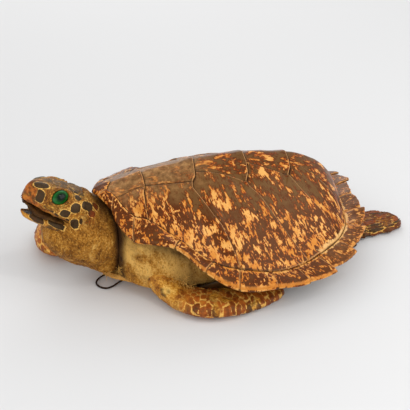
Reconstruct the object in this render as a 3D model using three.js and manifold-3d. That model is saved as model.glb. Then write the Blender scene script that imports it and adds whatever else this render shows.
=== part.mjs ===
// Mounted hawksbill turtle: horn scutes on a bony carapace, plastron, dried skin, glass eyes
// and an iron hanging wire. Millimetres, +X towards the head, +Y the animal's left, +Z up.
// The origin is on the ground, under the middle of the carapace.
import * as THREE from 'three';
import { mergeVertices } from 'three/addons/utils/BufferGeometryUtils.js';
import Module from 'manifold-3d';

const wasm = await Module();
wasm.setup();

// ---------- driving dimensions ----------

// Carapace rim on the left side. Each row is [seam number, x, y, z]: seam 0 is the nuchal
// scute's edge, seam n the rear end of marginal n, and -0.5 and 12 lie on the midline.
const RIM = [
  [-0.5, 208, 0, 137], [0, 202, 14, 136], [1, 190, 42, 126], [1.5, 187, 58, 116],
  [2, 173, 88, 104], [2.5, 154, 102, 104], [3, 125, 120, 102], [4, 92, 148, 76],
  [5, 52.5, 168, 54], [6, 0, 172, 48], [7, -48, 168, 43], [8, -94, 153, 42],
  [9, -137, 123, 47], [10, -173, 77, 55.5], [11, -187.5, 41, 65], [11.75, -189, 11, 67.5],
  [12, -186, 0, 66],
];
// The line where the marginal scutes meet the dome, by the same seam numbers.
const INNER = [
  [-0.5, 182, 0, 145.8], [0, 189, 12, 142], [1, 183, 26, 137.6], [2, 164.6, 62, 121.7],
  [2.5, 147, 75, 119], [3, 114, 104, 99.6], [4, 77, 130, 74], [5, 43, 141, 63],
  [6, -1, 145, 53], [7, -39, 138, 48.6], [8, -75, 125, 51], [9, -119, 98, 54],
  [10, -144, 68, 57], [11, -156, 35, 58.5], [12, -162.5, 0, 62.8],
];
// Height of the keel, [x, z], from the rear to the front.
const KEEL = [
  [-162.5, 62.8], [-152, 97], [-136, 122], [-112, 140], [-74, 153.5], [-8, 162.5],
  [64, 162.8], [140, 153.6], [182, 145.8], [200, 144.2],
];
// Where the dome's ribs start on the keel, [seam number, x].
const SPINE = [
  [-0.5, 168], [1, 155], [2, 140], [3, 105], [5, 40], [6, 2], [8, -70], [10, -122], [12, -150],
];
// How rounded the dome is across, [x, exponent]: 1 is a tent, 2 a round arch.
const ARCH = [[-160, 1.36], [-8, 1.32], [60, 1.38], [120, 1.27], [200, 1.2]];
// Depth of the notch in front of each rear marginal, [seam number, depth].
const NOTCH = [[5, 0], [6, 2], [7, 4], [8, 9], [9, 10], [10, 9], [11, 6], [12, 0]];

// The right rear quarter of the dried shell is drawn backwards and up: where the skew starts,
// how far it takes to grow along x and across y, and how far it reaches.
const SKEW = { start: -40, along: 110, across: 85, backward: 30, upward: 7 };

const SCUTE = 2.6;
const BONE = 5.5;
const GAP = 0.6;
const JOIN = 0.25;
const MARGIN_EDGE = [[-0.5, 7], [3, 8.5], [6, 9], [8, 5], [9, 3.6], [12, 3.6]];
const BONE_REACH = 0.36;
const LIP_SINK = 1.6;

// ---------- small tools ----------

const v3 = (x, y, z) => new THREE.Vector3(x, y, z);

// A smooth curve through rows of [position, value, ...], read at one position.
function through(rows, at, column = 1) {
  const last = rows.length - 1;
  const p = THREE.MathUtils.clamp(at, rows[0][0], rows[last][0]);
  let i = 0;
  while (i < last - 1 && rows[i + 1][0] <= p) i += 1;
  const slope = (a, b) => (rows[b][column] - rows[a][column]) / (rows[b][0] - rows[a][0]);
  const here = slope(i, i + 1);
  const before = i > 0 ? (slope(i - 1, i) + here) / 2 : here;
  const after = i < last - 1 ? (slope(i + 1, i + 2) + here) / 2 : here;
  const span = rows[i + 1][0] - rows[i][0];
  const t = (p - rows[i][0]) / span;
  const near = (2 * t ** 3 - 3 * t ** 2 + 1) * rows[i][column] + (t ** 3 - 2 * t ** 2 + t) * span * before;
  const far = (3 * t ** 2 - 2 * t ** 3) * rows[i + 1][column] + (t ** 3 - t ** 2) * span * after;
  return near + far;
}

const pointOn = (rows, at) => v3(through(rows, at, 1), through(rows, at, 2), through(rows, at, 3));
const range = (count) => Array.from({ length: count }, (_, i) => i);
const spread = (from, to, steps) => range(steps + 1).map((i) => from + (to - from) * i / steps);

// Clean, closed, outward-facing geometry from corner positions and triangles.
function tidy(positions, triangles) {
  const raw = new THREE.BufferGeometry();
  raw.setAttribute('position', new THREE.Float32BufferAttribute(positions.flatMap((p) => p.toArray()), 3));
  raw.setIndex(triangles);
  const merged = mergeVertices(raw, 1e-3);
  const corners = [];
  const index = merged.index.array;
  const at = merged.attributes.position;
  let volume = 0;
  for (let i = 0; i < index.length; i += 3) {
    const [a, b, c] = [index[i], index[i + 1], index[i + 2]];
    if (a === b || b === c || c === a) continue;
    corners.push(a, b, c);
    const [pa, pb, pc] = [a, b, c].map((k) => v3().fromBufferAttribute(at, k));
    volume += pa.dot(pb.cross(pc));
  }
  merged.setIndex(volume < 0 ? corners.reverse() : corners);
  return merged;
}

// A closed body skinned over rings of equal length; open ends are capped to their middle.
function skin(rings, capped = true) {
  const count = rings[0].length;
  const positions = rings.flat();
  const triangles = [];
  for (let r = 0; r < rings.length - 1; r += 1) {
    for (let i = 0; i < count; i += 1) {
      const a = r * count + i;
      const b = r * count + (i + 1) % count;
      const [c, d] = [b + count, a + count];
      const across = positions[a].distanceTo(positions[c]) - positions[b].distanceTo(positions[d]);
      triangles.push(...(across < 0.01 ? [a, b, c, a, c, d] : [a, b, d, b, c, d]));
    }
  }
  if (capped) {
    for (const [ring, start, flip] of [[rings[0], 0, 1], [rings.at(-1), (rings.length - 1) * count, 0]]) {
      const middle = ring.reduce((sum, p) => sum.add(p), v3(0, 0, 0)).divideScalar(count);
      positions.push(middle);
      for (let i = 0; i < count; i += 1) {
        const edge = [start + i, start + (i + 1) % count];
        triangles.push(...(flip ? edge.reverse() : edge), positions.length - 1);
      }
    }
  }
  return tidy(positions, triangles);
}

function toManifold(geometry) {
  const bare = geometry.clone();
  bare.deleteAttribute('normal');
  bare.deleteAttribute('uv');
  const merged = mergeVertices(bare, 1e-3);
  return new wasm.Manifold(new wasm.Mesh({
    numProp: 3,
    vertProperties: Float32Array.from(merged.attributes.position.array),
    triVerts: Uint32Array.from(merged.index.array),
  }));
}

function fromManifold(solid) {
  const mesh = solid.getMesh();
  const geometry = new THREE.BufferGeometry();
  geometry.setAttribute('position', new THREE.Float32BufferAttribute(mesh.vertProperties, 3));
  geometry.setIndex([...mesh.triVerts]);
  return geometry;
}

const cut = (geometry, ...tools) => fromManifold(
  tools.reduce((solid, tool) => solid.subtract(toManifold(tool)), toManifold(geometry)),
);

// ---------- the shell's surfaces ----------

const byX = (rows, skip) => rows.slice(skip).map((row) => row.slice(1)).sort((a, b) => a[0] - b[0]);
const FLANK = byX([...INNER.slice(2), [0, 190, 10, 143]], 0);
const EDGE = byX(RIM, 1);

const flankY = (x) => Math.max(3, through(FLANK, x, 1));

// Top of the dome inside the marginal scutes.
function dome(x, y) {
  const keel = through(KEEL, x);
  const fall = Math.min(1.03, Math.abs(y) / flankY(x)) ** through(ARCH, x);
  return keel - (keel - through(FLANK, x, 2)) * fall;
}

// Top of the shell anywhere, out to the rim.
function shellTop(x, y) {
  const inner = flankY(x);
  if (Math.abs(y) <= inner) return dome(x, y);
  const reach = Math.min(1, (Math.abs(y) - inner) / Math.max(8, through(EDGE, x, 1) - inner));
  return THREE.MathUtils.lerp(through(FLANK, x, 2), through(EDGE, x, 2), reach);
}

// A point on the marginal band: 0 is its line with the dome, 1 the rim.
function bandPoint(seam, across, notchFrom = null) {
  const rim = pointOn(RIM, seam);
  const inner = pointOn(INNER, seam);
  if (notchFrom !== null) {
    const depth = through(NOTCH, notchFrom) * (1 - (seam - notchFrom)) ** 1.5;
    rim.addScaledVector(inner.clone().sub(rim).normalize(), depth);
  }
  return inner.lerp(rim, across).add(v3(0, 0, 4 * across * (1 - across)));
}

// The shell's skew, for a finished piece of it.
function skewed(geometry) {
  const at = geometry.attributes.position;
  for (let i = 0; i < at.count; i += 1) {
    const along = THREE.MathUtils.smoothstep(SKEW.start - at.getX(i), 0, SKEW.along);
    const reach = along * THREE.MathUtils.smoothstep(-at.getY(i), 0, SKEW.across);
    at.setX(i, at.getX(i) - SKEW.backward * reach);
    at.setZ(i, at.getZ(i) + SKEW.upward * reach);
  }
  return geometry;
}

const SIDES = { left: 1, right: -1 };
const swap = (p, side) => v3(p.x, p.y * side, p.z);
const swapAll = (rings, side) => rings.map((ring) => ring.map((p) => swap(p, side)));

// ---------- dome: bone and scutes ----------

const RIBS = spread(-0.5, 12, 25);
const AROUND = [...RIBS.map((seam) => [seam, 1]), ...RIBS.slice(1, -1).reverse().map((seam) => [seam, -1])];

// One loop around the dome at a share of the way from the keel to the marginals.
function domeLoop(share, drop) {
  return AROUND.map(([seam, side]) => {
    const inner = pointOn(INNER, seam);
    const x = THREE.MathUtils.lerp(through(SPINE, seam), inner.x, share);
    const y = inner.y * share;
    return v3(x, y * side, (share < 1 ? dome(x, y) : inner.z) - drop);
  });
}

const bandLoop = (across, drop) => AROUND.map(([seam, side]) => {
  const p = bandPoint(seam, across);
  return v3(p.x, p.y * side, p.z - drop);
});

const SHARES = [0, 0.22, 0.5, 0.77, 1];

function carapaceBone() {
  const top = SCUTE + GAP;
  const upper = SHARES.map((share) => domeLoop(share, top));
  const lower = SHARES.map((share) => domeLoop(share, top + BONE));
  const lip = [bandLoop(BONE_REACH, top + LIP_SINK), bandLoop(BONE_REACH, top + BONE)];
  return skin([...upper, ...lip, ...lower.reverse()], false);
}

// The layer that the dome's scutes are divided from.
const PLATE_INSET = 0.03;

function domePlate() {
  const loops = (drop) => {
    const rows = SHARES.map((share) => domeLoop(share, drop));
    const [inside, outside] = rows.slice(-2);
    outside.forEach((p, i) => p.lerp(inside[i], PLATE_INSET));
    return rows;
  };
  return skin([...loops(0), ...loops(SCUTE).reverse()], false);
}

// Plan outlines of the scutes on the left of the midline, [x, y].
const REAR_1 = [[140, 26], [139, 13], [139, 0]];
const REAR_2 = [[76, 37], [70, 30], [68.8, 24], [67.5, 17], [64.5, 0]];
const REAR_3 = [[2, 47], [-4, 37], [-8, 20], [-8.5, 0]];
const REAR_4 = [[-64, 38], [-71, 27], [-73, 17], [-74, 0]];
const SIDE_1 = [[183, 29], [163, 26], [140, 26]];
const SIDE_2 = [[140, 26], [113, 31], [93, 34], [76, 37]];
const SIDE_3 = [[68.8, 24], [52, 27], [33, 34], [8, 45], [2, 47]];
const SIDE_4 = [[-8, 20], [-39, 30], [-56, 37], [-64, 38]];
const SIDE_5 = [[-73, 17], [-88, 23], [-101, 30], [-118, 37], [-134, 46], [-156, 62]];
const SEAM_1 = [[140, 26], [144, 36], [147, 58], [149, 82], [166, 116]];
const SEAM_2 = [[76, 37], [78, 47], [72, 59], [61, 82], [53, 96], [43, 132], [42, 180]];
const SEAM_3 = [[2, 47], [-1, 54], [-12, 65], [-21, 80], [-32, 99], [-46, 117], [-76, 150]];
const SEAM_4 = [[-64, 38], [-76, 54], [-90, 67], [-106, 79], [-120, 95], [-150, 128]];
const back = (points) => [...points].reverse();

const VERTEBRALS = [
  [[215, 0], [215, 29], ...SIDE_1, ...REAR_1.slice(1)],
  [...back(REAR_1), ...SIDE_2.slice(1), ...REAR_2.slice(1)],
  [[64.5, 0], [67.5, 17], ...SIDE_3, ...REAR_3.slice(1)],
  [[-8.5, 0], ...SIDE_4, ...REAR_4.slice(1)],
  [[-74, 0], ...SIDE_5, [-200, 62], [-200, 0]],
];
const COSTALS = [
  [...SIDE_1, ...SEAM_1.slice(1), [215, 116], [215, 29]],
  [...SEAM_1, [166, 180], ...back(SEAM_2), ...back(SIDE_2).slice(1, -1)],
  [...SEAM_2, [-76, 180], ...back(SEAM_3), ...back(SIDE_3).slice(1), [70, 30]],
  [...SEAM_3, [-150, 150], ...back(SEAM_4), ...back(SIDE_4).slice(1), [-4, 37]],
  [...SEAM_4, [-200, 128], [-200, 62], ...back(SIDE_5), [-71, 27]],
];

// An outline moved inwards by the joint's half width.
function inset(points, by) {
  const area = THREE.ShapeUtils.area(points.map(([x, y]) => new THREE.Vector2(x, y)));
  const loop = area > 0 ? points : back(points);
  return loop.map(([x, y], i) => {
    const [px, py] = loop.at(i - 1);
    const [nx, ny] = loop[(i + 1) % loop.length];
    const a = new THREE.Vector2(x - px, y - py).normalize();
    const b = new THREE.Vector2(nx - x, ny - y).normalize();
    const normal = new THREE.Vector2(-a.y - b.y, a.x + b.x).normalize();
    const miter = by / Math.max(0.4, -a.y * normal.x + a.x * normal.y);
    return new THREE.Vector2(x + normal.x * miter, y + normal.y * miter);
  });
}

const plate = toManifold(domePlate());

function domeScute(outline) {
  const plan = new THREE.Shape(inset(outline, JOIN));
  const column = new THREE.ExtrudeGeometry(plan, { depth: 300, bevelEnabled: false });
  return fromManifold(plate.intersect(toManifold(column)));
}

const mirrored = (outline) => outline.map(([x, y]) => [x, -y]);
// A vertebral scute's outline runs down its left side and back up its right.
const bothSides = (half) => [...half, ...back(mirrored(half)).slice(1, -1)];

// ---------- marginal scutes ----------

// Section of a marginal: over the top, round the edge and back under the bone's lip.
function marginalRing(seam, notchFrom) {
  const edge = through(MARGIN_EDGE, seam);
  const profile = [
    [0, 0], [0.5, 0], [0.93, 0], [1, edge * 0.45], [0.95, edge], [0.55, edge], [0.44, SCUTE], [0, SCUTE],
  ];
  return profile.map(([across, drop]) => {
    const p = bandPoint(seam, Math.max(0.03, across), notchFrom);
    return p.setZ(p.z - drop);
  });
}

const MARGIN_JOINT = 0.008;

function marginal(number) {
  const seams = spread(number - 1 + MARGIN_JOINT, number - MARGIN_JOINT, 3);
  return seams.map((seam) => marginalRing(seam, number - 1));
}

function nuchal() {
  const half = spread(-0.5, -MARGIN_JOINT, 2).map((seam) => marginalRing(seam, null));
  return [...back(swapAll(half.slice(1), -1)), ...half];
}

// ---------- plastron and the skin of the trunk ----------

// Half width and underside height of the plastron, [x, half width, z].
const PLASTRON = [
  [-163, 14, 6], [-150, 38, 3], [-122, 70, 0], [-76, 116, 0], [-40, 132, 0], [0, 140, 0],
  [40, 137, 0], [74, 121, 0], [100, 98, 0], [128, 76, 2], [153, 63, 7], [179, 50, 11],
  [199, 35, 13], [211, 14, 15],
];
const PLASTRON_THICK = 8;
// How far the bridge between the flippers climbs to the marginals, [x, height].
const BRIDGE = [
  [-163, 3], [-100, 5], [-72, 22], [-40, 30], [0, 35], [40, 42], [72, 30], [100, 9], [130, 4],
  [213, 3],
];

function plastronUnder(x, y) {
  const share = Math.min(1, Math.abs(y) / through(PLASTRON, x, 1));
  return through(PLASTRON, x, 2) + through(BRIDGE, x) * (Math.max(0, share - 0.62) / 0.38) ** 2;
}

const ACROSS = [1, 0.84, 0.62, 0.3, 0, -0.3, -0.62, -0.84, -1];

function plastronRings(grow = 0) {
  return PLASTRON.map(([x, half]) => {
    const wide = half + grow;
    const under = ACROSS.map((share) => v3(x, share * wide, plastronUnder(x, share * wide) - grow));
    const over = back(ACROSS.slice(1, -1)).map(
      (share) => v3(x, share * wide, plastronUnder(x, share * wide) + PLASTRON_THICK + grow),
    );
    const rim = (side) => v3(x, side * (wide - 1), plastronUnder(x, wide) + PLASTRON_THICK - 1.5 + grow);
    return [...under, rim(-1), ...over, rim(1)];
  });
}

// Half width of the trunk skin, [x, half width].
const TRUNK = [
  [-146, 44], [-124, 68], [-84, 98], [-30, 121], [20, 124], [60, 117], [96, 103],
  [130, 96], [154, 86], [172, 72], [184, 52],
];
const TRUNK_SINK = SCUTE + GAP + BONE + 2.2;

function trunkRings(grow = 0) {
  const rings = TRUNK.map(([x, half]) => {
    const wide = half + grow;
    const over = ACROSS.map((share) => v3(
      x, share * wide * 0.94, shellTop(x, share * wide) - TRUNK_SINK + grow,
    ));
    const under = back(ACROSS).map((share) => v3(
      x, share * wide * 0.96, plastronUnder(x, share * wide) + PLASTRON_THICK + 0.6 - grow,
    ));
    const belly = (side) => v3(x, side * wide, (over[0].z + under[0].z) / 2);
    return [...over, belly(-1), ...under, belly(1)];
  });
  const lift = (ring, by) => ring.map((p) => p.clone().setX(p.x + by));
  rings[0] = lift(rings[0], -grow);
  rings[rings.length - 1] = lift(rings.at(-1), grow);
  return rings;
}

// ---------- head, jaw, neck ----------

const HEAD_CENTRE = v3(258, 0, 130);
const HEAD_PITCH = THREE.MathUtils.degToRad(27);
const FORWARD = v3(Math.cos(HEAD_PITCH), 0, Math.sin(HEAD_PITCH));
const UPWARD = v3(-Math.sin(HEAD_PITCH), 0, Math.cos(HEAD_PITCH));
const inHead = (along, side, high) => HEAD_CENTRE.clone()
  .addScaledVector(FORWARD, along).addScaledVector(UPWARD, high).add(v3(0, side, 0));

// Sections of the head, [along, top, bottom, half width].
const HEAD = [
  [-50, 13, -22, 20], [-42, 19, -28, 27], [-30, 23, -26, 32], [-16, 24, -20, 33.5],
  [0, 24.4, -17, 32], [14, 23.8, -15.5, 28], [27, 21.5, -14.5, 21.5], [36, 17.6, -14, 15],
  [42, 12.2, -13.8, 8], [44.6, 4.4, -13.4, 3.5],
];
const JAW = [
  [-26, -22.5, -36, 28], [-14, -21, -38.5, 26.5], [2, -22, -38.5, 22], [16, -24, -38, 16.5],
  [27, -26.5, -36.5, 10.5], [35, -28, -35, 5.5], [38, -28.6, -31.6, 2.2],
];

// An egg-shaped section, widest a little below its middle.
function headRing([along, top, bottom, half], grow = 0) {
  return spread(0, 2 * Math.PI, 12).slice(1).map((angle) => {
    const middle = (top + bottom) / 2;
    const high = middle + (top - middle + grow) * Math.sin(angle);
    const round = Math.abs(Math.cos(angle)) ** 0.85 * Math.sign(Math.cos(angle));
    return inHead(along, (half + grow) * round, high);
  });
}

const headRings = (rows, grow = 0) => rows.map((row, i) => {
  const push = i === 0 ? -grow : i === rows.length - 1 ? grow : 0;
  return headRing([row[0] + push, ...row.slice(1)], grow);
});

// Upright sections of the neck, [x, bottom, top, half width].
const NECK = [
  [184.6, 25, 119, 51], [197, 22, 123, 53], [207, 20.5, 126, 52.5], [216, 20, 137, 51], [232, 25, 130, 46],
  [248, 34, 120, 41], [262, 46, 108, 33], [273, 58, 98, 24], [280, 68, 90, 12],
];

const upright = ([x, bottom, top, half]) => spread(0, 2 * Math.PI, 14).slice(1).map((angle) => v3(
  x, half * Math.cos(angle), (top + bottom) / 2 + (top - bottom) / 2 * Math.sin(angle),
));

const TAIL = [[-146.6, 16, 38, 17], [-158, 18, 36, 12], [-170, 20, 33, 8], [-181, 22, 29, 4]];

// The glass eyes droop forwards by the slant, and face up by the lean.
const EYE = { along: 3.4, side: 22.1, high: 13.1, radius: 13 };
const EYE_SLANT = THREE.MathUtils.degToRad(42);
const EYE_LEAN = THREE.MathUtils.degToRad(35);
const EYE_FLATTEN = [1, 0.55, 0.76];

// ---------- flippers ----------

// Each row is a section: [leading x, y, trailing x, y, half thickness, lowest z].
const FRONT_LEFT = [
  [157, 60, 122, 66, 25, 14], [154, 84, 114, 84, 21, 8], [144, 104, 105, 93, 16, 2.5],
  [127, 133, 93, 98, 13, 0], [98, 158, 77, 100, 12, 0], [62, 166, 53, 104, 11, 0],
  [27, 161, 27, 105, 9, 0], [3, 153, 6, 108, 7.5, 0], [-16, 142, -10, 112, 5.5, 0.3],
  [-28, 128, -23, 118, 3, 1],
];
const FRONT_RIGHT = [
  [160, -62, 150, -96, 22, 10], [190, -60, 178, -100, 20, 5], [226, -54, 206, -102, 17, 2],
  [260, -49, 228, -104, 16, 0], [281, -78, 238, -109, 16, 0], [274, -126, 234, -116, 14, 0],
  [246, -158, 216, -125, 12, 0], [208, -182, 184, -138, 10, 0], [165, -196, 150, -153, 8, 0],
  [128, -200, 122, -170, 6, 0.3], [108, -194, 106, -184, 3, 1],
];
const HIND_LEFT = [
  [-116, 86, -132, 44, 15, 14], [-140, 80, -150, 34, 12, 8], [-166, 58, -174, 12, 9, 3],
  [-190, 34, -198, -20, 8, 0], [-217, 29, -223, -33, 7.5, 0], [-245, 26, -248, -29, 7, 0],
  [-262, 19, -265, -17, 6, 0], [-271, 8, -272, -5, 3.5, 1],
];
const HIND_RIGHT = [
  [-116, -86, -132, -44, 15, 14], [-140, -96, -160, -56, 12, 7], [-166, -112, -184, -70, 9, 2],
  [-192, -126, -208, -82, 8, 0], [-214, -132, -226, -94, 7, 0], [-230, -128, -236, -104, 4.5, 0.6],
];

function flipperRing([lx, ly, tx, ty, thick, low]) {
  return spread(0, 2 * Math.PI, 10).slice(1).map((angle) => {
    const share = (1 - Math.cos(angle)) / 2;
    const bulge = Math.sin(angle) * (1.2 - 0.4 * share);
    return v3(lx + (tx - lx) * share, ly + (ty - ly) * share, low + thick * 1.1 + thick * bulge);
  });
}

// ---------- hanging wire ----------

const WIRE_RADIUS = 1.3;
const WIRE = new THREE.CatmullRomCurve3([
  v3(178, 16, 8.6), v3(190, 13, 7.2), v3(203, 14.5, 5), v3(211.5, 19.5, 3.4), v3(215, 27, 2.6),
  v3(212, 36, 2), v3(204, 42, 1.9), v3(194, 41, 3), v3(182, 35.5, 5), v3(168, 30, 6),
]);

function hangingWire() {
  const section = new THREE.Shape();
  section.absarc(0, 0, WIRE_RADIUS, 0, 2 * Math.PI);
  const sweep = { steps: 28, curveSegments: 3, bevelEnabled: false, extrudePath: WIRE };
  return new THREE.ExtrudeGeometry(section, sweep);
}

// ---------- assembly ----------

const turtle = new THREE.Group();
const finish = (color, roughness, metalness = 0) => ({ color, roughness, metalness });
const TORTOISESHELL = finish(0xa8672f, 0.32);
const RIM_HORN = finish(0xb87a35, 0.35);
const BONE_FINISH = finish(0x5a4028, 0.7);
const PLASTRON_FINISH = finish(0xc08a3e, 0.45);
const SKIN_FINISH = finish(0x9c7a3e, 0.8);
const SCALED_FINISH = finish(0x7a4a26, 0.6);
const BEAK_FINISH = finish(0x8c5a30, 0.5);
const GLASS_FINISH = finish(0x1f7a3c, 0.05);
const IRON_FINISH = finish(0x2b2421, 0.6, 0.8);

function add(name, geometry, material) {
  const mesh = new THREE.Mesh(geometry, new THREE.MeshStandardMaterial(material));
  mesh.name = name;
  turtle.add(mesh);
}

add('carapace_bone', skewed(carapaceBone()), BONE_FINISH);
add('nuchal_scute', skin(nuchal()), RIM_HORN);
VERTEBRALS.forEach((half, i) => {
  add(`vertebral_scute_${i + 1}`, skewed(domeScute(bothSides(half))), TORTOISESHELL);
});
for (const [name, side] of Object.entries(SIDES)) {
  COSTALS.forEach((outline, i) => {
    const place = side > 0 ? outline : mirrored(outline);
    add(`costal_scute_${name}_${i + 1}`, skewed(domeScute(place)), TORTOISESHELL);
  });
  for (const number of range(11).map((i) => i + 1)) {
    add(`marginal_scute_${name}_${number}`, skewed(skin(swapAll(marginal(number), side))), RIM_HORN);
  }
  add(`supracaudal_scute_${name}`, skewed(skin(swapAll(marginal(12), side))), RIM_HORN);
}

const head = skin(headRings(HEAD));
const jaw = skin(headRings(JAW));
const headRoom = skin(headRings(HEAD, JOIN));
const jawRoom = skin(headRings(JAW, JOIN));
const plastronRoom = skin(plastronRings(JOIN));
const trunkRoom = skin(trunkRings(JOIN));

function glassEye(side, grow = 0) {
  const ball = new THREE.SphereGeometry(EYE.radius + grow, 12, 8);
  ball.scale(...EYE_FLATTEN);
  ball.rotateY(EYE_SLANT).rotateX(EYE_LEAN * side).rotateY(-HEAD_PITCH);
  return ball.translate(...inHead(EYE.along, EYE.side * side, EYE.high).toArray());
}

add('plastron', skin(plastronRings()), PLASTRON_FINISH);
add('body_skin', cut(skin(trunkRings()), plastronRoom), SKIN_FINISH);
add('head', cut(head, glassEye(SIDES.left, JOIN), glassEye(SIDES.right, JOIN)), BEAK_FINISH);
add('lower_jaw', cut(jaw, headRoom), BEAK_FINISH);
add('neck', cut(skin(NECK.map(upright)), headRoom, jawRoom, trunkRoom, plastronRoom), SKIN_FINISH);
add('tail', cut(skin(TAIL.map(upright)), trunkRoom), SKIN_FINISH);
for (const [name, side] of Object.entries(SIDES)) {
  add(`${name}_glass_eye`, glassEye(side), GLASS_FINISH);
}
const FLIPPERS = {
  left_front_flipper: FRONT_LEFT,
  right_front_flipper: FRONT_RIGHT,
  left_hind_flipper: HIND_LEFT,
  right_hind_flipper: HIND_RIGHT,
};
for (const [name, rows] of Object.entries(FLIPPERS)) {
  add(name, cut(skin(rows.map(flipperRing)), trunkRoom, plastronRoom), SCALED_FINISH);
}
add('hanging_wire', hangingWire(), IRON_FINISH);

export default turtle;
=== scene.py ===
"""The finished look of a mounted hawksbill turtle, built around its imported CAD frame.

Every length below is in millimetres, in the frame of the CAD part (+X towards the head, +Y the
animal's left, +Z up, origin on the ground under the carapace); meshes are scaled to metres.
"""

import itertools
import math

import bpy
import numpy as np
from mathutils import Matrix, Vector, kdtree


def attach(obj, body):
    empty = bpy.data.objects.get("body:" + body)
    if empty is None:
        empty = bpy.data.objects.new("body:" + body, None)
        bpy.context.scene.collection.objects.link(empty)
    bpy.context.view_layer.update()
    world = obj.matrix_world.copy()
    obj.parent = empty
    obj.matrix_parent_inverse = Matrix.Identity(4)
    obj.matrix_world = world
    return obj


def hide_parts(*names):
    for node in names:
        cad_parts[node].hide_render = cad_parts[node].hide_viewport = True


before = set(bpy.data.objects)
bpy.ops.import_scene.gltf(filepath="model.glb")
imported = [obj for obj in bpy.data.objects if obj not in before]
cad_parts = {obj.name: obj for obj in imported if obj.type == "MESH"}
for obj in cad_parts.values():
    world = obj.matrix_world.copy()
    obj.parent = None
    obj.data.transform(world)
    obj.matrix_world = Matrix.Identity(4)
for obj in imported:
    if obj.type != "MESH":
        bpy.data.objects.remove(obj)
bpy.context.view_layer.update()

MM = 0.001
SIDES = (("left", 1), ("right", -1))
rng = np.random.default_rng(7)

# ---------------------------------------------------------------- driving dimensions

# Carapace rim, [seam number, x, y, z]; seam n is the rear end of marginal scute n.
RIM = [
    [-0.5, 208, 0, 137], [0, 202, 14, 136], [1, 190, 42, 126], [1.5, 187, 58, 116],
    [2, 173, 88, 104], [2.5, 154, 102, 104], [3, 125, 120, 102], [4, 92, 148, 76],
    [5, 52.5, 168, 54], [6, 0, 172, 48], [7, -48, 168, 43], [8, -94, 153, 42],
    [9, -137, 123, 47], [10, -173, 77, 55.5], [11, -187.5, 41, 65], [11.75, -189, 11, 67.5],
    [12, -186, 0, 66],
]
# Where the marginal scutes meet the dome.
INNER = [
    [-0.5, 182, 0, 145.8], [0, 189, 12, 142], [1, 183, 26, 137.6], [2, 164.6, 62, 121.7],
    [2.5, 147, 75, 119], [3, 114, 104, 99.6], [4, 77, 130, 74], [5, 43, 141, 63],
    [6, -1, 145, 53], [7, -39, 138, 48.6], [8, -75, 125, 51], [9, -119, 98, 54],
    [10, -144, 68, 57], [11, -156, 35, 58.5], [12, -162.5, 0, 62.8],
]
KEEL = [
    [-162.5, 62.8], [-152, 97], [-136, 122], [-112, 140], [-74, 153.5], [-8, 162.5],
    [64, 162.8], [140, 153.6], [182, 145.8], [200, 144.2],
]
SPINE = [[-0.5, 168], [1, 155], [2, 140], [3, 105], [5, 40], [6, 2], [8, -70], [10, -122], [12, -150]]
ARCH = [[-160, 1.36], [-8, 1.32], [60, 1.38], [120, 1.27], [200, 1.2]]
NOTCH = [[5, 0], [6, 2], [7, 4], [8, 9], [9, 10], [10, 9], [11, 6], [12, 0]]
SKEW_START, SKEW_ALONG, SKEW_ACROSS, SKEW_BACK, SKEW_UP = -40, 110, 85, 30, 7
SCUTE, BONE, GAP, JOIN = 2.6, 5.5, 0.6, 0.25
MARGIN_EDGE = [[-0.5, 7], [3, 8.5], [6, 9], [8, 5], [9, 3.6], [12, 3.6]]
MARGIN_JOINT = 0.008
MARGIN_SOURCE = 1.6
MARGIN_START = 0.018
BONE_REACH = 0.36
LIP_SINK = 1.6
FLAME_RADIUS = 150
SHARE_INSIDE, PLATE_INSET = 0.77, 0.014
SHINGLE_LIFT, SHINGLE_SINK = 3.0, 1.3
GROWTH_STEP = 3.4
# The steps of the fine meshes: seams round the rim, along a scute's edge, and in towards its middle.
LOOP_SEAMS = np.arange(-0.5, 12.01, 0.125)
EDGE_STEP, RING_STEP = 1.5, 2.2
NEAR_EDGE = [0.94, 0.965, 0.98, 0.99, 0.996, 1]
NEAR_RIM = [0.84, 0.88, 0.915, 0.945, 0.968, 0.985, 0.996]

# Plan outlines of the dome's scutes, left of the midline, [x, y].
REAR_1 = [[140, 26], [139, 13], [139, 0]]
REAR_2 = [[76, 37], [70, 30], [68.8, 24], [67.5, 17], [64.5, 0]]
REAR_3 = [[2, 47], [-4, 37], [-8, 20], [-8.5, 0]]
REAR_4 = [[-64, 38], [-71, 27], [-73, 17], [-74, 0]]
SIDE_1 = [[183, 29], [163, 26], [140, 26]]
SIDE_2 = [[140, 26], [113, 31], [93, 34], [76, 37]]
SIDE_3 = [[68.8, 24], [52, 27], [33, 34], [8, 45], [2, 47]]
SIDE_4 = [[-8, 20], [-39, 30], [-56, 37], [-64, 38]]
SIDE_5 = [[-73, 17], [-88, 23], [-101, 30], [-118, 37], [-134, 46], [-156, 62]]
SEAM_1 = [[140, 26], [144, 36], [147, 58], [149, 82], [166, 116]]
SEAM_2 = [[76, 37], [78, 47], [72, 59], [61, 82], [53, 96], [43, 132], [42, 180]]
SEAM_3 = [[2, 47], [-1, 54], [-12, 65], [-21, 80], [-32, 99], [-46, 117], [-76, 150]]
SEAM_4 = [[-64, 38], [-76, 54], [-90, 67], [-106, 79], [-120, 95], [-150, 128]]
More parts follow.
